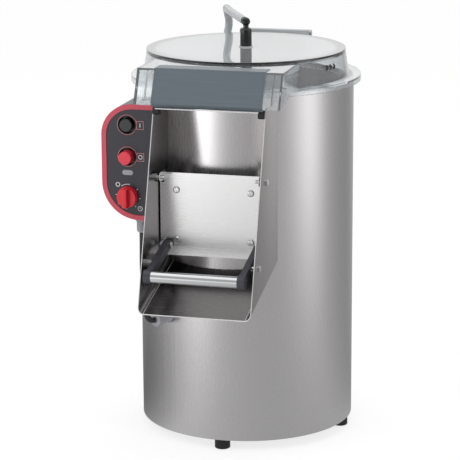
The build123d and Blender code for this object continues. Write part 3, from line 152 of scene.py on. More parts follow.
def finish(name, colour, roughness, **sockets):
    """A new material: its colour and other constant sockets are set on the shader itself."""
    material = bpy.data.materials.new(name)
    tree = empty_tree(material)
    shader = add(tree, "ShaderNodeBsdfPrincipled", {
        "Base Color": linear(colour), "Roughness": roughness, **sockets})
    add(tree, "ShaderNodeOutputMaterial", {"Surface": shader.outputs["BSDF"]})
    place = add(tree, "ShaderNodeTexCoord").outputs["Object"]
    FINISHES[name] = material
    return tree, shader, place


def lumps(tree, place, size, stretch=(1, 1, 1), detail=4.0):
    """Soft noise whose lumps are about this many millimetres across, stretched along any axis."""
    scale = [1 / (size * MM * s) for s in stretch]
    mapped = add(tree, "ShaderNodeMapping", {"Vector": place, "Scale": scale}).outputs["Vector"]
    return add(tree, "ShaderNodeTexNoise", {
        "Vector": mapped, "Scale": 1.0, "Detail": detail}).outputs["Fac"]


def uneven_gloss(tree, shader, pattern, low, high):
    """Lets the roughness go between two values with a pattern, as on any handled surface.

    Noise lies mostly between a quarter and three quarters, so that part is spread over the range.
    """
    between = add(tree, "ShaderNodeMapRange", {
        "Value": pattern, "From Min": 0.25, "From Max": 0.75, "To Min": low, "To Max": high})
    tree.links.new(between.outputs["Result"], shader.inputs["Roughness"])


def relief(tree, shader, pattern, depth):
    """Turns a pattern into a fine relief, this many millimetres deep."""
    bump = add(tree, "ShaderNodeBump", {"Height": pattern, "Distance": depth * MM, "Strength": 1.0})
    tree.links.new(bump.outputs["Normal"], shader.inputs["Normal"])


def mottled(tree, shader, pattern, dark, light):
    """Lets the colour go between two hex values with a pattern."""
    mix = add(tree, "ShaderNodeMix", {"Factor": pattern}, data_type="RGBA")
    mix.inputs[6].default_value, mix.inputs[7].default_value = linear(dark), linear(light)
    tree.links.new(mix.outputs[2], shader.inputs["Base Color"])


print("finish helpers ready")

# %% [markdown]
# ### Metals
# The drum is 1.5 mm stainless sheet with a fine vertical grain from the rolling mill. The folded
# sheets of the chute are the same steel, brushed the other way, and drawn darker as painted shade.
# The door plate is the same steel drawn paler as painted light. Pins, nuts and the handle tube are
# turned and polished, so smoother. Zinc plating is a little dull, and cast aluminium is rough from
# its mould.

# %% Steel finishes


def brushed(name, colour, low, high, direction, depth, size):
    """Stainless sheet whose brushing runs along one axis of the object."""
    tree, shader, place = finish(name, colour, (low + high) / 2, Metallic=1.0)
    grain = lumps(tree, place, size, direction, 3.0)
    uneven_gloss(tree, shader, grain, low, high)
    relief(tree, shader, grain, depth)
    return tree, shader, place


ACROSS, UPRIGHT = (60, 1, 1), (1, 1, 90)            # a line's length on each axis, for a width of 1
tree, shader, place = brushed(
    "brushed_drum_stainless", "#c9c7c8", 0.268, 0.280, UPRIGHT, 0.00004, 0.5)
mottled(tree, shader, lumps(tree, place, 90), "#c7c5c5", "#cbc9ca")
# The chute's steel is darker than the drum's: painted shade for the inside of the chute.
brushed("brushed_chute_stainless_painted_shade", "#a4a1a1", 0.20, 0.29, ACROSS, 0.0006, 0.7)
# The door plate's steel is paler than the drum's: painted light.
brushed("brushed_door_stainless_painted_light", "#e4e3e3", 0.21, 0.29, ACROSS, 0.0006, 0.7)
brushed("sheet_stainless", "#c4c5c7", 0.20, 0.29, ACROSS, 0.001, 1.0)
print("brushed steel", sorted(FINISHES))

# %% Turned, plated and cast metal
tree, shader, place = finish("polished_steel", "#d6d7d8", 0.12, Metallic=1.0)
uneven_gloss(tree, shader, lumps(tree, place, 3), 0.08, 0.16)

# The narrow cut edges of the sheets are drawn pale: a painted highlight along each edge.
tree, shader, place = finish("pale_edge_painted_highlight", "#e2e2e2", 0.42, Metallic=0.35)
relief(tree, shader, lumps(tree, place, 0.8), 0.01)

tree, shader, place = finish("zinc_steel", "#c9cacc", 0.3, Metallic=1.0)
uneven_gloss(tree, shader, lumps(tree, place, 2), 0.24, 0.36)

tree, shader, place = finish("cast_aluminium", "#a9abad", 0.5, Metallic=1.0)
cast_skin = lumps(tree, place, 1.5)
uneven_gloss(tree, shader, cast_skin, 0.42, 0.6)
relief(tree, shader, cast_skin, 0.08)
print("metals", sorted(FINISHES))

# %% [markdown]
# ### Plastics and rubber
# Moulded parts have a fine texture from the tool, which breaks up their gloss, so each is a colour,
# a roughness and the same fine skin. Turned acetal and buttons are glossy, films and nylon are
# satin, and rubber is nearly matt. The hood is drawn ABS sheet with faint streaks along its length.

# %% Plastic, rubber and paint finishes
SKIN_SIZE, SKIN_DEPTH = 0.8, 0.015                  # millimetres


def moulded(name, colour, roughness):
    """A moulded plastic, rubber or paint with its tool texture."""
    tree, shader, place = finish(name, colour, roughness)
    skin = lumps(tree, place, SKIN_SIZE, detail=2.0)
    uneven_gloss(tree, shader, skin, roughness * 0.88, roughness * 1.12)
    relief(tree, shader, skin, SKIN_DEPTH)


MOULDED = (
    ("arm_nylon", "#3a3a42", 0.42),                 # satin dark grey, of the handle's arms
    ("box_abs", "#5c6066", 0.4),                    # satin grey, of the control box
    ("panel_film", "#2c2b33", 0.4),                 # printed polyester film
    ("border_film", "#cc4c5e", 0.36),
    ("elbow_acetal", "#0d0d10", 0.13),              # turned, so glossy and black
    ("lens_black", "#18191b", 0.3),                 # button collars and chevrons
    ("bar_acetal", "#c2c5c8", 0.25),                # pale rod of the hinge, and a washer
    ("print_white", "#e8e8ea", 0.4),                # printing inks
    ("print_pink", "#d98a92", 0.4),
    ("start_black", "#151619", 0.25),               # button caps and knob, with a light gloss
    ("stop_red", "#e8384e", 0.3),
    ("knob_red", "#e01c30", 0.28),
    ("black_rubber", "#17171a", 0.6),               # nearly matt
    ("gland_nylon", "#a9a9ae", 0.42),
    ("cable_pvc", "#202124", 0.42),
    ("grey_polyethylene", "#8d9094", 0.45),         # waxy, of the waste pipe and door block
    ("black_phenolic", "#26272a", 0.45),            # switches, contacts and valve
    ("motor_enamel", "#3f4a55", 0.4),
    ("brass_nickel", "#b9babb", 0.3),               # plated spray nozzle
    ("ferrite", "#3b3b3d", 0.5),                    # magnet
    ("badge_silver", "#a3a3a8", 0.35),
)
for name, colour, roughness in MOULDED:
    moulded(name, colour, roughness)

tree, shader, place = finish("hood_abs", "#6b757c", 0.34)
streaks = lumps(tree, place, 2.2, (40, 1, 1), 3.0)
mottled(tree, shader, streaks, "#58626a", "#6a747b")
relief(tree, shader, streaks, 0.01)
print("plastics", len(MOULDED) + 1)

# %% [markdown]
# ### Clear, coated and gritty
# Polycarbonate has an index of refraction of 1.58. That is the index of its coat, which makes the
# gloss. Light that goes through a thin wall bends in and back out again, so the body below the coat
# is drawn with a lower index, and what stands behind it isn't shifted. The dark rims are painted
# shade: the lid disc's rim and the narrow faces of the clear parts get a dark colour. The hose is
# soft PVC that lets some light through. The liner is coated up to a line below the rim and bare
# steel above it. The abrasive is silicon carbide.

# %% Clear finishes
POLYCARBONATE_INDEX = 1.58
# Beyond this radius the lid disc's rim is coloured near black: painted shade.
RIM_RADIUS = 179.75                                 # millimetres: beyond it is the lid disc's rim


def step_at(tree, value, edge, width):
    """0 below an edge and 1 above it, with a soft change this many millimetres wide."""
    return add(tree, "ShaderNodeMapRange", {
        "Value": value, "From Min": (edge - width / 2) * MM, "From Max": (edge + width / 2) * MM,
    }).outputs["Result"]


def axis_distance(tree, place):
    """How far a point is from the drum's own axis."""
    flat = add(tree, "ShaderNodeVectorMath", {0: place, 1: (1, 1, 0)}, operation="MULTIPLY")
    length = add(tree, "ShaderNodeVectorMath", {0: flat.outputs["Vector"]}, operation="LENGTH")
    return length.outputs["Value"]


tree, shader, place = finish("clear_polycarbonate", "#f4f8fa", 0.03, IOR=1.2, **{
    "Transmission Weight": 0.93, "Coat Weight": 1.0, "Coat IOR": POLYCARBONATE_INDEX,
    "Coat Roughness": 0.03})
uneven_gloss(tree, shader, lumps(tree, place, 40), 0.01, 0.04)

# A dark, partly clear finish for the narrow faces and ribs of the clear lid: painted shade of their
# rims.
tree, shader, place = finish("dark_edge_painted_shade", "#4d5358", 0.15, IOR=1.5, **{
    "Transmission Weight": 0.25})
relief(tree, shader, lumps(tree, place, 1.5), 0.01)

tree, shader, place = finish("lid_sheet_polycarbonate_painted_rim", "#f1f4f6", 0.05, IOR=1.3, **{
    "Transmission Weight": 0.7, "Coat Weight": 1.0, "Coat IOR": POLYCARBONATE_INDEX,
    "Coat Roughness": 0.04})
# The rim of the lid disc is painted near black: painted shade.
rim = step_at(tree, axis_distance(tree, place), RIM_RADIUS, 0.2)
mottled(tree, shader, rim, "#f1f4f6", "#0d0e0f")

tree, shader, place = finish("hose_pvc", "#d0d6d8", 0.15, IOR=1.53, **{"Transmission Weight": 0.35})
relief(tree, shader, lumps(tree, place, 2), 0.02)
print("finishes", len(FINISHES))

# %% Liner and abrasive
COATED_UP_TO = 575.0                                # millimetres above the floor
GRIT_SIZE = 2.2                                     # millimetres

tree, shader, place = finish("coated_liner", "#54565a", 0.5)
height = add(tree, "ShaderNodeSeparateXYZ", {"Vector": place}).outputs["Z"]
bare = step_at(tree, height, COATED_UP_TO, 1.0)
mottled(tree, shader, bare, "#4b4d51", "#b9babc")
for socket, coated_value, bare_value in (("Metallic", 0.0, 1.0), ("Roughness", 0.6, 0.16)):
    value = add(tree, "ShaderNodeMapRange", {
        "Value": bare, "To Min": coated_value, "To Max": bare_value})
    tree.links.new(value.outputs["Result"], shader.inputs[socket])
relief(tree, shader, lumps(tree, place, 1.6), 0.12)

tree, shader, place = finish("silicon_carbide", "#4a4745", 0.75)
grit = add(tree, "ShaderNodeTexVoronoi", {"Vector": place, "Scale": 1 / (GRIT_SIZE * MM)})
mottled(tree, shader, grit.outputs["Distance"], "#2f2d2c", "#7a7673")
relief(tree, shader, grit.outputs["Distance"], 0.5)
print("finishes", len(FINISHES))

# %% [markdown]
# ## Refined copies of the CAD pieces
# Nothing is quite sharp on a real machine: a cut sheet, a moulded edge or a turned nut has a small
# round that catches light. A CAD piece is copied, its loose triangles are merged, flat parts are
# joined to one face each, and the Bevel modifier rounds the edges. Weighted normals keep large
# faces looking flat.

# %% Copy, merge, bevel
BEVEL_STEPS, SHARP_ANGLE, FLAT_ANGLE = 2, 30, 1     # the angles are in degrees
MERGE_DISTANCE = 0.01                               # millimetres


def baked(piece, name):
    """The piece with its modifiers applied, as a new object with a plain mesh."""
    graph = bpy.context.evaluated_depsgraph_get()
    made = new_object(name, bpy.data.meshes.new_from_object(
        piece.evaluated_get(graph), preserve_all_data_layers=True, depsgraph=graph))
    bpy.data.objects.remove(piece)
    return made


def dressed(piece, finish_name, body, replaces=()):
    """Gives a finished piece its material and its body, and hides the CAD nodes that it stands for.
    """
    piece.data.materials.clear()
    piece.data.materials.append(FINISHES[finish_name])
    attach(piece, body)
    if replaces:
        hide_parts(*replaces)
    return piece


def rounded(piece, name, width):
    """Bevels the sharp edges, this many millimetres wide, and keeps flat faces flat."""
    if width:
        bevel = piece.modifiers.new("bevel", "BEVEL")
        bevel.width, bevel.segments = width * MM, BEVEL_STEPS
        bevel.limit_method, bevel.angle_limit = "ANGLE", radians(SHARP_ANGLE)
        bevel.use_clamp_overlap = True
    for polygon in piece.data.polygons:
        polygon.use_smooth = True
    weighted = piece.modifiers.new("weighted", "WEIGHTED_NORMAL")
    weighted.keep_sharp, weighted.weight = True, 100
    piece.data.set_sharp_from_angle(angle=radians(SHARP_ANGLE))
    if width:
        piece.data.attributes.remove(piece.data.attributes["sharp_edge"])
    return baked(piece, name)


def refined(node, finish_name, width):
    """A bevelled copy of a CAD node, in its own place, that stands for the node."""
    source = frame["nodes"][node]
    piece = new_object(node + "_copy", source.data.copy())
    shape = bmesh.new()
    shape.from_mesh(piece.data)
    bmesh.ops.remove_doubles(shape, verts=shape.verts, dist=MERGE_DISTANCE * MM)
    bmesh.ops.dissolve_limit(shape, angle_limit=radians(FLAT_ANGLE), verts=shape.verts,
                             edges=shape.edges)
    shape.to_mesh(piece.data)
    shape.free()
    made = rounded(piece, node + "_made", width)
    return dressed(made, finish_name, source["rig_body"], [node])


print("bevels have", BEVEL_STEPS, "steps, on edges over", SHARP_ANGLE, "degrees")

# %% [markdown]
# Each row is a node, its finish and the width of its rounded edges. The two parts of the drum's
# skin are one welded sheet, so they have no bevel, which would draw a seam between them.

# %% The pieces and their finishes
REFINED = (
    ("body_shell", "brushed_drum_stainless", 0),
    ("base_shell", "brushed_drum_stainless", 0),
    ("base_plate", "sheet_stainless", 0.3),
    ("motor_shelf", "sheet_stainless", 0.3),
    ("chamber_floor", "sheet_stainless", 0.3),
    ("valve_bracket", "sheet_stainless", 0.4),
    ("hinge_bracket", "sheet_stainless", 0.4),
    ("hinge_strap", "sheet_stainless", 0.4),
    ("chute", "brushed_chute_stainless_painted_shade", 0.25),
    ("door_plate", "brushed_door_stainless_painted_light", 0.3),
    ("door_block", "grey_polyethylene", 0.8),
    ("door_gasket", "black_rubber", 0.4),
    ("handle_pivots", "polished_steel", 0.3),
    ("handle_arms", "arm_nylon", 0.8),
    ("handle_tube", "polished_steel", 0.3),
    ("hinge_pins", "polished_steel", 0.3),
    ("keeper_bolts", "polished_steel", 0.4),
    ("hinge_rod", "polished_steel", 0.3),
    ("hinge_bar", "bar_acetal", 0.4),
    ("strap_screws", "polished_steel", 0.4),
    ("bumpers", "black_rubber", 0.8),
    ("feet", "black_rubber", 0.8),
    ("foot_screws", "zinc_steel", 0.3),
    ("motor", "motor_enamel", 0.5),
    ("motor_shaft", "polished_steel", 0.3),
    ("motor_pulley", "cast_aluminium", 0.5),
    ("driven_pulley", "cast_aluminium", 0.5),
    ("belt", "black_rubber", 0.5),
    ("bearing_housing", "cast_aluminium", 0.8),
    ("bearings", "polished_steel", 0.4),
    ("spindle", "polished_steel", 0.5),
    ("shaft_seal", "black_rubber", 0.3),
    ("chamber_liner", "coated_liner", 0.4),
    ("turntable", "cast_aluminium", 0.8),
    ("grit_disc", "silicon_carbide", 0.8),
    ("hub_nut", "polished_steel", 0.5),
    ("waste_pipe", "grey_polyethylene", 0.5),
    ("waste_collar", "grey_polyethylene", 0.5),
    ("lid_cover", "clear_polycarbonate", 0.9),
    ("lid_disc", "lid_sheet_polycarbonate_painted_rim", 0.8),
    ("lid_seal", "black_rubber", 0.5),
    ("hood", "hood_abs", 0.8),
    ("lid_switch", "black_phenolic", 0.8),
    ("lid_magnet", "ferrite", 0.4),
    ("control_box", "box_abs", 1.0),
    ("panel_face", "panel_film", 0.5),
    ("panel_border", "border_film", 0.3),
    ("button_collars", "lens_black", 0.4),
    ("button_contacts", "black_phenolic", 0.6),
    ("start_button", "start_black", 0.4),
    ("stop_button", "stop_red", 0.4),
    ("timer_knob", "knob_red", 0.8),
    ("timer_unit", "black_phenolic", 0.6),
    ("cable_glands", "gland_nylon", 0.6),
    ("water_elbow", "elbow_acetal", 0.6),
    ("spray_nozzle", "brass_nickel", 0.5),
    ("water_valve", "black_phenolic", 0.8),
)
for node, finish_name, width in REFINED:
    refined(node, finish_name, width)
print("refined copies", len(REFINED))

# %% [markdown]
# A cut edge of bare sheet gets a paler finish than the face beside it, as a painted highlight, and
# a narrow face of clear plastic gets a darker one, as painted shade. A face's area divided by the
# length round it tells how narrow it is. The chute's folds are narrow too, but they look sideways
# more than its cut edges do, so they keep the finish of the sheet.

# %% Painted highlight on the sheets' cut edges, painted shade on the clear lid's
# node, finish, largest narrowness in millimetres, largest sideways part of the normal
CUT_EDGES = (
    ("chute", "pale_edge_painted_highlight", 1.05, 0.12),
    ("door_plate", "pale_edge_painted_highlight", 0.55, 1.0),
    ("lid_cover", "dark_edge_painted_shade", 0.3, 1.0),
)
for node, finish_name, narrow, sideways in CUT_EDGES:
    mesh = bpy.data.objects[node + "_made"].data
    mesh.materials.append(FINISHES[finish_name])
    for polygon in mesh.polygons:
        outline = [mesh.vertices[i].co for i in polygon.vertices]
        around = sum((b - a).length for a, b in zip(outline, outline[1:] + outline[:1]))
        if polygon.area / around < narrow * MM and abs(polygon.normal.x) <= sideways:
            polygon.material_index = 1
    print(node, "cut edges", sum(polygon.material_index for polygon in mesh.polygons))

# %% [markdown]
# ## What repeats
# Marks stand in a ring, screws in a grid, and grit lies scattered, so three small node trees place
# the copies. Each has named inputs for its sizes. The copies are made real and get their finish
# inside.

# %% What every tree shares
WHOLE, LENGTH, ANGLE = "NodeSocketInt", "NodeSocketFloat", "NodeSocketFloat"


def copy_tree(name, numbers):
    """A node tree with a Copy, a Finish and the named numbers as its inputs."""
    tree = bpy.data.node_groups.new(name, "GeometryNodeTree")
    sockets = tree.interface
    sockets.new_socket("Copies", in_out="OUTPUT", socket_type="NodeSocketGeometry")
    sockets.new_socket("Copy", in_out="INPUT", socket_type="NodeSocketObject")
    sockets.new_socket("Finish", in_out="INPUT", socket_type="NodeSocketMaterial")
    for label, kind in numbers:
        sockets.new_socket(label, in_out="INPUT", socket_type=kind)
    given = tree.nodes.new("NodeGroupInput").outputs
    copy = add(tree, "GeometryNodeObjectInfo", {"Object": given["Copy"]},
               transform_space="ORIGINAL")
    return tree, given, copy.outputs["Geometry"]


def copies_out(tree, given, points, copy, turn=None, size=None):
    """Puts a copy on each point, makes the copies real and gives them their finish."""
    inputs = {"Points": points, "Instance": copy, "Rotation": turn, "Scale": size}
    inputs = {key: value for key, value in inputs.items() if value is not None}
    placed = add(tree, "GeometryNodeInstanceOnPoints", inputs).outputs["Instances"]
    real = add(tree, "GeometryNodeRealizeInstances", {"Geometry": placed}).outputs["Geometry"]
    made = add(tree, "GeometryNodeSetMaterial", {"Geometry": real, "Material": given["Finish"]})
    add(tree, "NodeGroupOutput", {"Copies": made.outputs["Geometry"]})
    return tree


def copied(tree, name, place, finish_name, copy, **numbers):
    """Runs a tree on its own, and puts the copies' plain mesh in its place."""
    host = new_object(name + "_host", bpy.data.meshes.new(name))
    modifier = host.modifiers.new("copies", "NODES")
    modifier.node_group = tree
    values = {"Copy": copy, "Finish": FINISHES[finish_name], **numbers}
    for socket in tree.interface.items_tree:
        if socket.in_out == "INPUT":
            modifier[socket.identifier] = values[socket.name]
    made = baked(host, name)
    made.data.transform(place)
    return made


print("tree helpers ready")

# %% A ring of copies and a grid of copies
tree, given, copy = copy_tree("ring_of_copies", (
    ("Count", WHOLE), ("Radius", LENGTH), ("First", ANGLE), ("Step", ANGLE)))
line = add(tree, "GeometryNodeMeshLine", {"Count": given["Count"]}).outputs["Mesh"]
index = add(tree, "GeometryNodeInputIndex").outputs["Index"]
angle = add(tree, "ShaderNodeMath", {0: index, 1: given["Step"], 2: given["First"]},
            operation="MULTIPLY_ADD").outputs[0]
across = add(tree, "ShaderNodeMath", {0: angle}, operation="COSINE").outputs[0]
along = add(tree, "ShaderNodeMath", {0: angle}, operation="SINE").outputs[0]
unit = add(tree, "ShaderNodeCombineXYZ", {"X": across, "Y": along}).outputs["Vector"]
spot = add(tree, "ShaderNodeVectorMath", {0: unit, "Scale": given["Radius"]}, operation="SCALE")
points = add(tree, "GeometryNodeSetPosition", {
    "Geometry": line, "Position": spot.outputs["Vector"]})
turn = add(tree, "ShaderNodeCombineXYZ", {"Z": angle}).outputs["Vector"]
RING = copies_out(tree, given, points.outputs["Geometry"], copy, turn)

tree, given, copy = copy_tree("grid_of_copies", (
    ("Columns", WHOLE), ("Rows", WHOLE), ("Width", LENGTH), ("Height", LENGTH)))
points = add(tree, "GeometryNodeMeshGrid", {
    "Size X": given["Width"], "Size Y": given["Height"],
    "Vertices X": given["Columns"], "Vertices Y": given["Rows"]})
GRID = copies_out(tree, given, points.outputs["Mesh"], copy)
print("trees", [tree.name for tree in (RING, GRID)])

# %% Scattered grains
UPWARDS = 0.6                                       # grains lie where the normal's Z is above this
SMALLEST_GRAIN, LARGEST_GRAIN = 0.55, 1.3           # times the size that is asked for
ANY_TURN = 6.3                                      # radians round each axis

tree, given, copy = copy_tree("scattered_grains", (
    ("Density", LENGTH), ("Grain", LENGTH), ("Seed", WHOLE)))
grain = add(tree, "GeometryNodeMeshIcoSphere", {"Radius": given["Grain"], "Subdivisions": 1})
normal = add(tree, "GeometryNodeInputNormal").outputs["Normal"]
up = add(tree, "ShaderNodeSeparateXYZ", {"Vector": normal}).outputs["Z"]
top = add(tree, "ShaderNodeMath", {0: up, 1: UPWARDS}, operation="GREATER_THAN").outputs[0]
points = add(tree, "GeometryNodeDistributePointsOnFaces", {
    "Mesh": copy, "Selection": top, "Density": given["Density"], "Seed": given["Seed"]})
turn = add(tree, "FunctionNodeRandomValue", {
    "Max": (ANY_TURN,) * 3, "Seed": given["Seed"]}, data_type="FLOAT_VECTOR")
size = add(tree, "FunctionNodeRandomValue", {
    2: SMALLEST_GRAIN, 3: LARGEST_GRAIN, "Seed": given["Seed"]}, data_type="FLOAT")
GRAINS = copies_out(tree, given, points.outputs["Points"], grain.outputs["Mesh"], turn.outputs[0],
                    size.outputs[1])
print("tree", GRAINS.name)

# %% [markdown]
# ## Marks on the panel
# Marks on a film panel are printed ink, a few hundredths of a millimetre thick. Here they stand
# 0.15 mm proud, so that they never flicker with the face. Each is a closed strip that runs through
# a few sections.

# %% Closed shapes
PANEL_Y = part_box("panel_face")[0][1] / MM
INK_FRONT, INK_BACK = PANEL_Y - 0.15, PANEL_Y + 0.1


def piece_of(shape, name):
    """A closed bmesh, in millimetres, as a new object with its faces outwards."""
    bmesh.ops.recalc_face_normals(shape, faces=shape.faces)
    bmesh.ops.scale(shape, vec=(MM, MM, MM), verts=shape.verts)
    mesh = bpy.data.meshes.new(name)
    shape.to_mesh(mesh)
    shape.free()
    return new_object(name, mesh)


def prism(shape, near, far):
    """A closed solid between two outlines with the same number of points."""
    near, far = [[shape.verts.new(point) for point in outline] for outline in (near, far)]
    shape.faces.new(near)
    shape.faces.new(far[::-1])
    for i in range(len(near)):
        shape.faces.new((near[i - 1], near[i], far[i], far[i - 1]))


def strip(shape, pairs, closed):
    """A flat strip of ink through pairs of x, z points: its near side and its far side."""
    sections = []
    for near, far in pairs:
        corners = ((near, INK_FRONT), (far, INK_FRONT), (far, INK_BACK), (near, INK_BACK))
        sections.append([shape.verts.new((x, y, z)) for (x, z), y in corners])
    following = sections[1:] + sections[:1] if closed else sections[1:]
    for here, there in zip(sections, following):
        for i in range(4):
            shape.faces.new((here[i], here[i - 1], there[i - 1], there[i]))
    if not closed:
        shape.faces.new(sections[0])
        shape.faces.new(sections[-1])


print("ink stands at", round(INK_FRONT, 2), "mm")

# %% Arcs, bars, windows and plates
DEGREES_A_SECTION = 10


def arc(shape, x, z, radius, width, first=0, last=360):
    """A ring or an arc of ink round a centre, between two angles in degrees."""
    steps = max(4, round(abs(last - first) / DEGREES_A_SECTION))
    closed = last - first == 360
    pairs = []
    for i in range(steps + (not closed)):
        angle = radians(first + (last - first) * i / steps)
        pairs.append([(x + r * cos(angle), z + r * sin(angle))
                      for r in (radius - width / 2, radius + width / 2)])
    strip(shape, pairs, closed)


def bar(shape, x, z, width, height):
    """An upright bar round a centre."""
    strip(shape, [((x + side * width / 2, z - height / 2), (x + side * width / 2, z + height / 2))
                  for side in (-1, 1)], False)


def window(shape, x, z, width, height, line):
    """A thin rectangular frame."""
    pairs = []
    for across, up in ((-1, -1), (1, -1), (1, 1), (-1, 1)):
        pairs.append([(x + across * (width / 2 - inset), z + up * (height / 2 - inset))
                      for inset in (line, 0)])
    strip(shape, pairs, True)


def capsule(shape, x, z, width, height, proud):
    """A plain plate with round ends, this much thicker than the ink."""
    r = height / 2
    outline = []
    for side in (1, -1):
        for step in range(9):
            angle = radians((-90 if side > 0 else 90) + 22.5 * step)
            outline.append((x + side * (width / 2 - r) + r * cos(angle), z + r * sin(angle)))
    prism(shape, [(px, INK_FRONT - proud, pz) for px, pz in outline],
          [(px, INK_BACK, pz) for px, pz in outline])


print("an arc has a section every", DEGREES_A_SECTION, "degrees")

# %% Print the marks
CONTROLS_X = sum(corner[0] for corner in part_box("timer_knob")) / 2 / MM
START_Z, STOP_Z, KNOB_Z = [sum(corner[2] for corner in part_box(node)) / 2 / MM
                           for node in ("start_button", "stop_button", "timer_knob")]
FRAME_X = CONTROLS_X + 24                           # the framed marks, to the right of the caps

pink, white, badge = bmesh.new(), bmesh.new(), bmesh.new()
for z in (START_Z, STOP_Z):
    arc(pink, CONTROLS_X, z, 17.6, 0.9)             # ring round the cap
    window(pink, FRAME_X, z, 13, 15, 0.8)
bar(white, FRAME_X, START_Z, 1.3, 7)                # on
arc(white, FRAME_X, STOP_Z, 3.4, 1.2)               # off
arc(white, CONTROLS_X, KNOB_Z, 22.2, 1.1, 84, 124)  # arc over the knob, and a ring by its end
arc(white, CONTROLS_X - 18.6, KNOB_Z + 21, 3.5, 1.3)
arc(white, CONTROLS_X + 22, KNOB_Z - 21, 4.0, 0.9)  # clock face and its two hands
bar(white, CONTROLS_X + 22, KNOB_Z - 19.6, 0.8, 2.8)
bar(white, CONTROLS_X + 23.1, KNOB_Z - 21, 2.2, 0.8)
capsule(badge, CONTROLS_X, STOP_Z - 28.5, 20, 9, 0.25)
dressed(piece_of(pink, "panel_frames"), "print_pink", "frame")
dressed(piece_of(white, "panel_marks"), "print_white", "frame")
dressed(piece_of(badge, "panel_badge"), "badge_silver", "frame")
print("controls at", [round(z) for z in (START_Z, STOP_Z, KNOB_Z)], "mm")

# %% Marks round the timer knob
FACING = Matrix.Rotation(radians(90), 4, "X")       # a tree's flat work, stood up to face the front
TICKS, TICK_RADIUS, FIRST_TICK, NEXT_TICK = 7, 22, 83, -45      # the angles are in degrees


def block(name, x, y, z):
    """A small block between pairs of millimetre limits, as something to copy."""
    shape = bmesh.new()
    bmesh.ops.create_cube(shape, size=1.0)
    for vertex in shape.verts:
        vertex.co = [pair[vertex.co[axis] > 0] for axis, pair in enumerate((x, y, z))]
    return piece_of(shape, name)


tick = block("tick_copy", (-1.3, 1.3), (-0.5, 0.5), (-0.1, 0.15))
place = Matrix.Translation((CONTROLS_X * MM, PANEL_Y * MM, KNOB_Z * MM)) @ FACING
ticks = copied(RING, "timer_marks", place, "print_white", tick, Count=TICKS,
               Radius=TICK_RADIUS * MM, First=radians(FIRST_TICK), Step=radians(NEXT_TICK))
dressed(ticks, "print_white", "frame")
bpy.data.objects.remove(tick)
print("timer marks", len(ticks.data.polygons), "faces")

# %% [markdown]
# ## Screws of the door
# The four pan screws have a cross recess. The recess is cut from the CAD screws' copy by a grid of
# crosses.

# %% Cross recesses
SCREW_X, SCREW_LOW_Z, SCREW_HIGH_Z = 66.6, 396.0, 483.5
CROSS_REACH, CROSS_SLOT = 4.2, 0.9                  # half the length and half the width of a slot
CROSS_FRONT, CROSS_DEPTH, CROSS_TURN = 2.0, 1.4, 20
quarter = [(CROSS_SLOT, CROSS_REACH), (-CROSS_SLOT, CROSS_REACH), (-CROSS_SLOT, CROSS_SLOT)]
CROSS = []
for _ in range(4):                                  # each is the one before, turned by 90 degrees
    CROSS += quarter
    quarter = [(-y, x) for x, y in quarter]

shape = bmesh.new()
prism(shape, [(x, y, CROSS_FRONT) for x, y in CROSS], [(x, y, -CROSS_DEPTH) for x, y in CROSS])
cross = piece_of(shape, "cross_copy")
cross.data.transform(Matrix.Rotation(radians(CROSS_TURN), 4, "Z"))
low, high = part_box("door_screws")
place = Matrix.Translation((0, low[1], (SCREW_LOW_Z + SCREW_HIGH_Z) / 2 * MM)) @ FACING
crosses = copied(GRID, "cross_cutters", place, "polished_steel", cross, Columns=2, Rows=2,
                 Width=2 * SCREW_X * MM, Height=(SCREW_HIGH_Z - SCREW_LOW_Z) * MM)
screws = refined("door_screws", "polished_steel", 0.3)
cut = screws.modifiers.new("recess", "BOOLEAN")
cut.operation, cut.object, cut.solver = "DIFFERENCE", crosses, "EXACT"
screws = baked(screws, "door_screws_cut")
dressed(screws, "polished_steel", "door", ["door_screws"])
for done in (crosses, cross):
    bpy.data.objects.remove(done)
print("screws with recesses", len(screws.data.polygons), "faces")

# %% [markdown]
# ## Ribs, chevrons and grit
# A gland's nut has ribs for the fingers. Three chevrons on the lid's skirt show which way the drum
# turns. The abrasive disc is covered in coarse grit: the grains here are 2 to 4 mm, larger than
# real ones, to show.

# %% Ribs of the glands
PANEL_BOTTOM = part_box("panel_face")[0][2] / MM
HIGH_GLAND_X, HIGH_GLAND_Y, HIGH_NUT_BELOW_PANEL = -153.0, -155.0, 27.0
LOW_GLAND_Z, LOW_GLAND_ANGLE, LOW_NUT_OUT = 236.0, 238.9, 17.5
DRUM_RADIUS = 195.0
HIGH_RIBS, HIGH_RIB_RADIUS, LOW_RIBS, LOW_RIB_RADIUS = 16, 9, 20, 12

rib = block("rib_copy", (-0.6, 0.45), (-0.6, 0.6), (1.0, 15.5))
low_angle = radians(LOW_GLAND_ANGLE)
low_turn = Matrix.Rotation(low_angle, 4, "Z") @ Matrix.Rotation(radians(90), 4, "Y")
out = Vector((cos(low_angle), sin(low_angle), 0)) * (DRUM_RADIUS + LOW_NUT_OUT) * MM
place = Matrix.Translation(out + Vector((0, 0, LOW_GLAND_Z * MM))) @ low_turn
low_ribs = copied(RING, "low_gland_ribs", place, "gland_nylon", rib, Count=LOW_RIBS,
                  Radius=LOW_RIB_RADIUS * MM, First=0.0, Step=radians(360 / LOW_RIBS))
dressed(low_ribs, "gland_nylon", "frame")
place = Matrix.Translation((HIGH_GLAND_X * MM, HIGH_GLAND_Y * MM,
                            (PANEL_BOTTOM - HIGH_NUT_BELOW_PANEL) * MM))
high_ribs = copied(RING, "high_gland_ribs", place, "gland_nylon", rib, Count=HIGH_RIBS,
                   Radius=HIGH_RIB_RADIUS * MM, First=0.0, Step=radians(360 / HIGH_RIBS))
dressed(high_ribs, "gland_nylon", "frame")
bpy.data.objects.remove(rib)
print("ribs", len(low_ribs.data.polygons) // 6 + len(high_ribs.data.polygons) // 6)

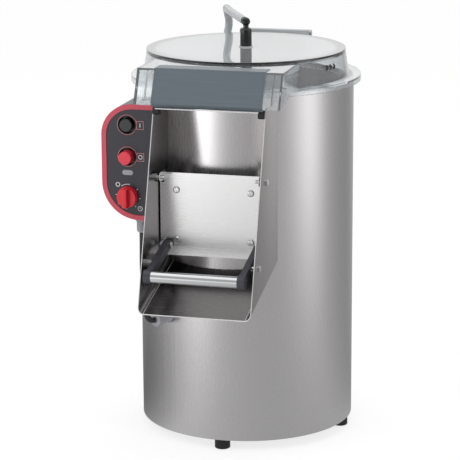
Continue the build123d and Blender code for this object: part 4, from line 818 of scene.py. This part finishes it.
# %% Chevrons on the skirt
CHEVRON = [(-3.8, 4.6), (0.6, 4.6), (4.8, 0.0), (0.6, -4.6), (-3.8, -4.6), (0.2, 0.0)]   # y, z
CHEVRON_PROUD, CHEVRON_SUNK = 0.4, 0.5
CHEVRON_Z, SKIRT_RADIUS_THERE = 682.0, 182.65
SKIRT_LEAN = 0.149                                  # how far inwards for each millimetre upwards
FIRST_CHEVRON, NEXT_CHEVRON = -24.5, 3.6            # degrees round the drum

shape = bmesh.new()
prism(shape, *[[(lift - z * SKIRT_LEAN, y, z) for y, z in CHEVRON]
               for lift in (CHEVRON_PROUD, -CHEVRON_SUNK)])
chevron = piece_of(shape, "chevron_copy")
place = Matrix.Translation((0, 0, CHEVRON_Z * MM))
chevrons = copied(RING, "turning_chevrons", place, "lens_black", chevron, Count=3,
                  Radius=SKIRT_RADIUS_THERE * MM, First=radians(FIRST_CHEVRON),
                  Step=radians(NEXT_CHEVRON))
dressed(chevrons, "lens_black", "lid")
bpy.data.objects.remove(chevron)
print("chevrons", len(chevrons.data.polygons), "faces")

# %% Grit on the abrasive disc
GRAIN_RADIUS, GRAINS_A_SQUARE_METRE, GRAIN_SEED = 1.5, 42000.0, 7
disc = bpy.data.objects["grit_disc_made"]
grains = copied(GRAINS, "grit_grains", Matrix.Identity(4), "silicon_carbide", disc,
                Density=GRAINS_A_SQUARE_METRE, Grain=GRAIN_RADIUS * MM, Seed=GRAIN_SEED)
dressed(grains, "silicon_carbide", frame["nodes"]["grit_disc"]["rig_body"])
print("grain triangles", sum(len(p.vertices) - 2 for p in grains.data.polygons))

# %% [markdown]
# ## Small parts of the lid
# The hood's lower edge has a pale strip. The clear nose has an upright rib near each end, just
# behind its front wall, and the water elbow stands on a pale washer.

# %% Pale strip, nose ribs and washer
STRIP_INSET, STRIP_STARTS, STRIP_ENDS, STRIP_BELOW, STRIP_SUNK = 7, 2.2, 5.0, 1.1, 0.3
low, high = [[v / MM for v in corner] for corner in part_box("hood")]
edge = block("hood_edge", (low[0] + STRIP_INSET, high[0] - STRIP_INSET),
             (low[1] + STRIP_STARTS, low[1] + STRIP_ENDS),
             (low[2] - STRIP_BELOW, low[2] + STRIP_SUNK))
dressed(rounded(edge, "hood_edge_strip", 0.3), "print_white", "lid")

NOSE_RIB = [(-241.2, 694.0), (-235.0, 694.0), (-258.0, 645.0), (-263.9, 645.0)]       # y, z
RIB_X, HALF_RIB = 112, 1
shape = bmesh.new()
for middle in (-RIB_X, RIB_X):
    prism(shape, *[[(middle + side, y, z) for y, z in NOSE_RIB] for side in (-HALF_RIB, HALF_RIB)])
# The ribs take the dark finish of the clear rims: painted shade.
dressed(piece_of(shape, "nose_ribs"), "dark_edge_painted_shade", "lid")

WASHER_RADIUS, WASHER_THICKNESS = 12.5, 1.8
DISC_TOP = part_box("lid_disc")[1][2] / MM
shape = bmesh.new()
bmesh.ops.create_cone(shape, cap_ends=True, segments=48, radius1=WASHER_RADIUS,
                      radius2=WASHER_RADIUS, depth=WASHER_THICKNESS,
                      matrix=Matrix.Translation((0, 0, DISC_TOP + WASHER_THICKNESS / 2)))
washer = rounded(piece_of(shape, "washer_plain"), "elbow_washer", 0.3)
dressed(washer, "bar_acetal", "lid")
print("hood, mm", [round(v) for v in low + high], "disc top, mm", round(DISC_TOP, 1))

# %% [markdown]
# ## Water hose and control cable
# Each is drawn as one smooth spline through a short list of control points. The cable has the CAD
# model's own points. The hose has them too as far as the lid's rear edge, and falls up to 10 mm
# from them behind it. The hose joins the lid to the valve on the drum, and it is made a plain mesh
# in its rest place.

# %% The two routes
HOSE_RADIUS, CABLE_RADIUS = 7.25, 5.0
HOSE_POINTS = [
    (-5.3, 8.45, 748.6), (-32, 51, 751.8), (-58, 99, 753), (-76, 145, 752),
    (-85, 182, 742), (-84.5, 202, 716), (-92, 206, 688), (-100, 204, 657),
]
CABLE_POINTS = [
    (-118.80, -196.94, 236), (-123.45, -204.65, 236), (-128.5, -213.3, 245.9),
    (-130.5, -216.5, 265.6), (-132.5, -213, 293.9), (-145, -183, 325.9), (-153, -155, 359.9),
    (-153, -155, 385.9),
]


def cord_curve(name, points, radius):
    """One NURBS spline of degree 2 that starts and ends at its first and last point."""
    data = bpy.data.curves.new(name, "CURVE")
    data.dimensions = "3D"
    spline = data.splines.new("NURBS")
    spline.points.add(len(points) - 1)
    for point, place in zip(spline.points, points):
        point.co = (*[v * MM for v in place], 1.0)
    spline.order_u, spline.use_endpoint_u = 3, True
    spline.resolution_u = 12
    data.bevel_depth, data.bevel_resolution, data.use_fill_caps = radius * MM, 6, True
    return new_object(name, data)


def spline_points(curve):
    """The points along the spline, read from it with no thickness."""
    depth, curve.data.bevel_depth = curve.data.bevel_depth, 0.0
    bpy.context.view_layer.update()
    graph = bpy.context.evaluated_depsgraph_get()
    line = bpy.data.meshes.new_from_object(curve.evaluated_get(graph), depsgraph=graph)
    points = [tuple(v.co) for v in line.vertices]
    curve.data.bevel_depth = depth
    bpy.context.view_layer.update()
    return points


def run_length(points):
    """The length of a line through points, in millimetres."""
    return sum((Vector(b) - Vector(a)).length for a, b in zip(points, points[1:])) / MM


print("points", len(HOSE_POINTS), "for the hose and", len(CABLE_POINTS), "for the cable")

# %% Cable and hose
cable = cord_curve("control_cable_made", CABLE_POINTS, CABLE_RADIUS)
cable_line = spline_points(cable)
cable.data.materials.append(FINISHES["cable_pvc"])
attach(cable, "frame")
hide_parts("control_cable")

hose_curve = cord_curve("hose_route", HOSE_POINTS, HOSE_RADIUS)
hose_line = spline_points(hose_curve)
hose = baked(hose_curve, "water_hose_made")
for polygon in hose.data.polygons:
    polygon.use_smooth = True
hose.data.materials.clear()
hose.data.materials.append(FINISHES["hose_pvc"])
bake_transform(hose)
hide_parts("water_hose")
print("cable", round(run_length(cable_line), 1), "mm, hose", round(run_length(hose_line), 1), "mm")

# %% [markdown]
# ## Studio
# A pale floor, a soft sky all round and large soft lamps. Polished and brushed metal shows what
# stands round it, so there are bright walls of light to the left front and to the right, and darker
# gaps between them. Only mirrored light sees these bands.

# %% Bands of light round the object
# degrees from the front towards the right, steady level, level that grows with distance
BANDS = (
    (-180, 0.60, 0.02), (-160, 0.42, 0.04), (-136, 0.26, 0.08), (-116, 0.18, 0.12),
    (-96, 0.19, 0.16), (-80, 0.28, 0.18), (-67, 0.39, 0.22), (-55, 0.51, 0.32),
    (-44, 0.66, 0.42), (-34, 0.74, 0.44), (-24, 0.71, 0.28), (-16, 0.66, 0.08),
    (-7, 0.62, 0.02), (4, 0.59, 0.0), (24, 0.53, 0.0), (44, 0.53, 0.0),
    (60, 0.55, 0.03), (73, 0.56, 0.14), (84, 0.58, 0.22), (95, 0.56, 0.11),
    (106, 0.52, 0.01), (122, 0.44, 0.0), (145, 0.34, 0.0), (162, 0.44, 0.0), (180, 0.60, 0.02),
)
BAND_TOP = 0.8                                      # the level that the ramps' white stands for


def ring_of_levels(tree, share, column):
    """One column of the table as a smooth colour ramp round the object."""
    ramp = add(tree, "ShaderNodeValToRGB", {"Fac": share})
    ramp.color_ramp.interpolation = "B_SPLINE"
    stops = ramp.color_ramp.elements
    for row in BANDS:
        place = (row[0] + 180) / 360
        stop = stops[0] if place == 0 else stops[-1] if place == 1 else stops.new(place)
        stop.color = (row[column] / BAND_TOP,) * 3 + (1.0,)
    return ramp.outputs["Color"]


def bands(tree, vector, growth):
    """The bands' brightness in the direction of a vector: the steady part and the growing part."""
    parts = add(tree, "ShaderNodeSeparateXYZ", {"Vector": vector}).outputs
    front = add(tree, "ShaderNodeMath", {0: parts["Y"], 1: -1.0}, operation="MULTIPLY").outputs[0]
    angle = add(tree, "ShaderNodeMath", {0: parts["X"], 1: front}, operation="ARCTAN2").outputs[0]
    share = add(tree, "ShaderNodeMapRange", {"Value": angle, "From Min": -pi, "From Max": pi})
    steady, growing = [ring_of_levels(tree, share.outputs["Result"], column) for column in (1, 2)]
    both = add(tree, "ShaderNodeMath", {0: growing, 1: growth, 2: steady},
               operation="MULTIPLY_ADD").outputs[0]
    return add(tree, "ShaderNodeMath", {0: both, 1: BAND_TOP}, operation="MULTIPLY").outputs[0]


def light_paths(tree):
    """1 for light that the camera sees straight or through glass, and 1 for mirrored light."""
    ray = add(tree, "ShaderNodeLightPath").outputs
    seen = add(tree, "ShaderNodeMath", {0: ray["Is Camera Ray"], 1: ray["Is Transmission Ray"]},
               operation="MAXIMUM")
    return seen.outputs[0], ray["Is Glossy Ray"]


print("bands", len(BANDS))

# %% Sky
WHITE = linear("#ffffff")
SKY_GROWTH = 3.2                                    # the sky is further away than the floor
DIFFUSE_SKY, SEEN_SKY = 0.7, 1.0
BANDS_END, DOME_STARTS = 0.05, 0.22                 # heights as parts of the unit sphere
DOME, DOME_BEHIND, CEILING = 0.5, 1.1, 1.25         # levels over the bands

world = bpy.data.worlds.new("studio")
bpy.context.scene.world = world
tree = empty_tree(world)
seen, mirrored = light_paths(tree)
direction = add(tree, "ShaderNodeTexCoord").outputs["Generated"]
low_level = bands(tree, direction, SKY_GROWTH)
parts = add(tree, "ShaderNodeSeparateXYZ", {"Vector": direction}).outputs
height = add(tree, "ShaderNodeValToRGB", {"Fac": parts["Z"]})
for stop, position, grey in zip(height.color_ramp.elements, (BANDS_END, DOME_STARTS), (0, 1)):
    stop.position, stop.color = position, (grey, grey, grey, 1)
wall = add(tree, "ShaderNodeMapRange", {
    "Value": parts["Y"], "From Min": 0.1, "From Max": 0.6, "To Min": DOME, "To Max": DOME_BEHIND})
zenith = add(tree, "ShaderNodeMapRange", {
    "Value": parts["Z"], "From Min": 0.72, "From Max": 0.86, "To Min": wall.outputs["Result"],
    "To Max": CEILING})
level = add(tree, "ShaderNodeMix", {
    "Factor": height.outputs["Color"], 2: low_level, 3: zenith.outputs["Result"]})
banded, plain, white = [
    add(tree, "ShaderNodeBackground", {"Color": WHITE, "Strength": strength}).outputs[0]
    for strength in (level.outputs[0], DIFFUSE_SKY, SEEN_SKY)]
lit = add(tree, "ShaderNodeMixShader", {0: mirrored, 1: plain, 2: banded})
sky = add(tree, "ShaderNodeMixShader", {0: seen, 1: lit.outputs[0], 2: white})
add(tree, "ShaderNodeOutputWorld", {"Surface": sky.outputs[0]})
print("sky nodes", len(tree.nodes))

# %% [markdown]
# The floor is a large plain disc. Seen directly it is white and keeps the soft shadow under the
# drum. Mirrored in the steel it carries the same bands as the sky, weaker near the object.

# %% Floor
FLOOR_RADIUS = 14.0                                 # metres, as are the two distances below
GROWTH_STARTS, GROWTH_ENDS, GROWTH_TOP, GROWTH_POWER = 0.25, 2.85, 2.6, 1.95
OWN_WHITE, OWN_WHITE_SHARE = 1.2, 0.6               # the rest of the seen floor takes the shadow

shape = bmesh.new()
bmesh.ops.create_circle(shape, cap_ends=True, radius=FLOOR_RADIUS, segments=96)
floor_mesh = bpy.data.meshes.new("floor")
shape.to_mesh(floor_mesh)
shape.free()
floor = new_object("floor", floor_mesh)
material = bpy.data.materials.new("pale_floor")
tree = empty_tree(material)
seen, mirrored = light_paths(tree)
place = add(tree, "ShaderNodeTexCoord").outputs["Object"]
away = add(tree, "ShaderNodeVectorMath", {0: place}, operation="LENGTH").outputs["Value"]
near = add(tree, "ShaderNodeMapRange", {
    "Value": away, "From Min": GROWTH_STARTS, "From Max": GROWTH_ENDS, "To Max": GROWTH_TOP})
growth = add(tree, "ShaderNodeMath", {0: near.outputs["Result"], 1: GROWTH_POWER},
             operation="POWER").outputs[0]
banded = add(tree, "ShaderNodeEmission", {"Color": WHITE, "Strength": bands(tree, place, growth)})
matt = add(tree, "ShaderNodeBsdfDiffuse", {"Color": linear("#f7f7f7")}).outputs[0]
bright = add(tree, "ShaderNodeEmission", {"Color": WHITE, "Strength": OWN_WHITE})
shown = add(tree, "ShaderNodeMixShader", {0: OWN_WHITE_SHARE, 1: matt, 2: bright.outputs[0]})
direct = add(tree, "ShaderNodeMixShader", {0: seen, 1: matt, 2: shown.outputs[0]})
both = add(tree, "ShaderNodeMixShader", {
    0: mirrored, 1: direct.outputs[0], 2: banded.outputs[0]})
add(tree, "ShaderNodeOutputMaterial", {"Surface": both.outputs[0]})
floor_mesh.materials.append(material)
print("floor", 2 * FLOOR_RADIUS, "m across")

# %% Lamps
MIDDLE = Vector((0, 0, 0.4))
LAMPS = (          # name, place in metres, width in metres, watts
    ("key", (-1.6, -2.4, 2.6), 1.4, 22),
    ("fill", (2.6, -1.4, 1.8), 1.6, 12),
    ("top", (0.2, 0.3, 3.2), 1.2, 10),
)
for name, place, size, power in LAMPS:
    data = bpy.data.lights.new(name, "AREA")
    data.shape, data.size, data.energy = "DISK", size, power
    lamp = new_object(name, data)
    lamp.location = place
    lamp.rotation_mode = "QUATERNION"
    lamp.rotation_quaternion = (MIDDLE - Vector(place)).to_track_quat("-Z", "Y")
    lamp.visible_glossy = False                     # metal mirrors the bands instead
print("lamps", len(LAMPS))
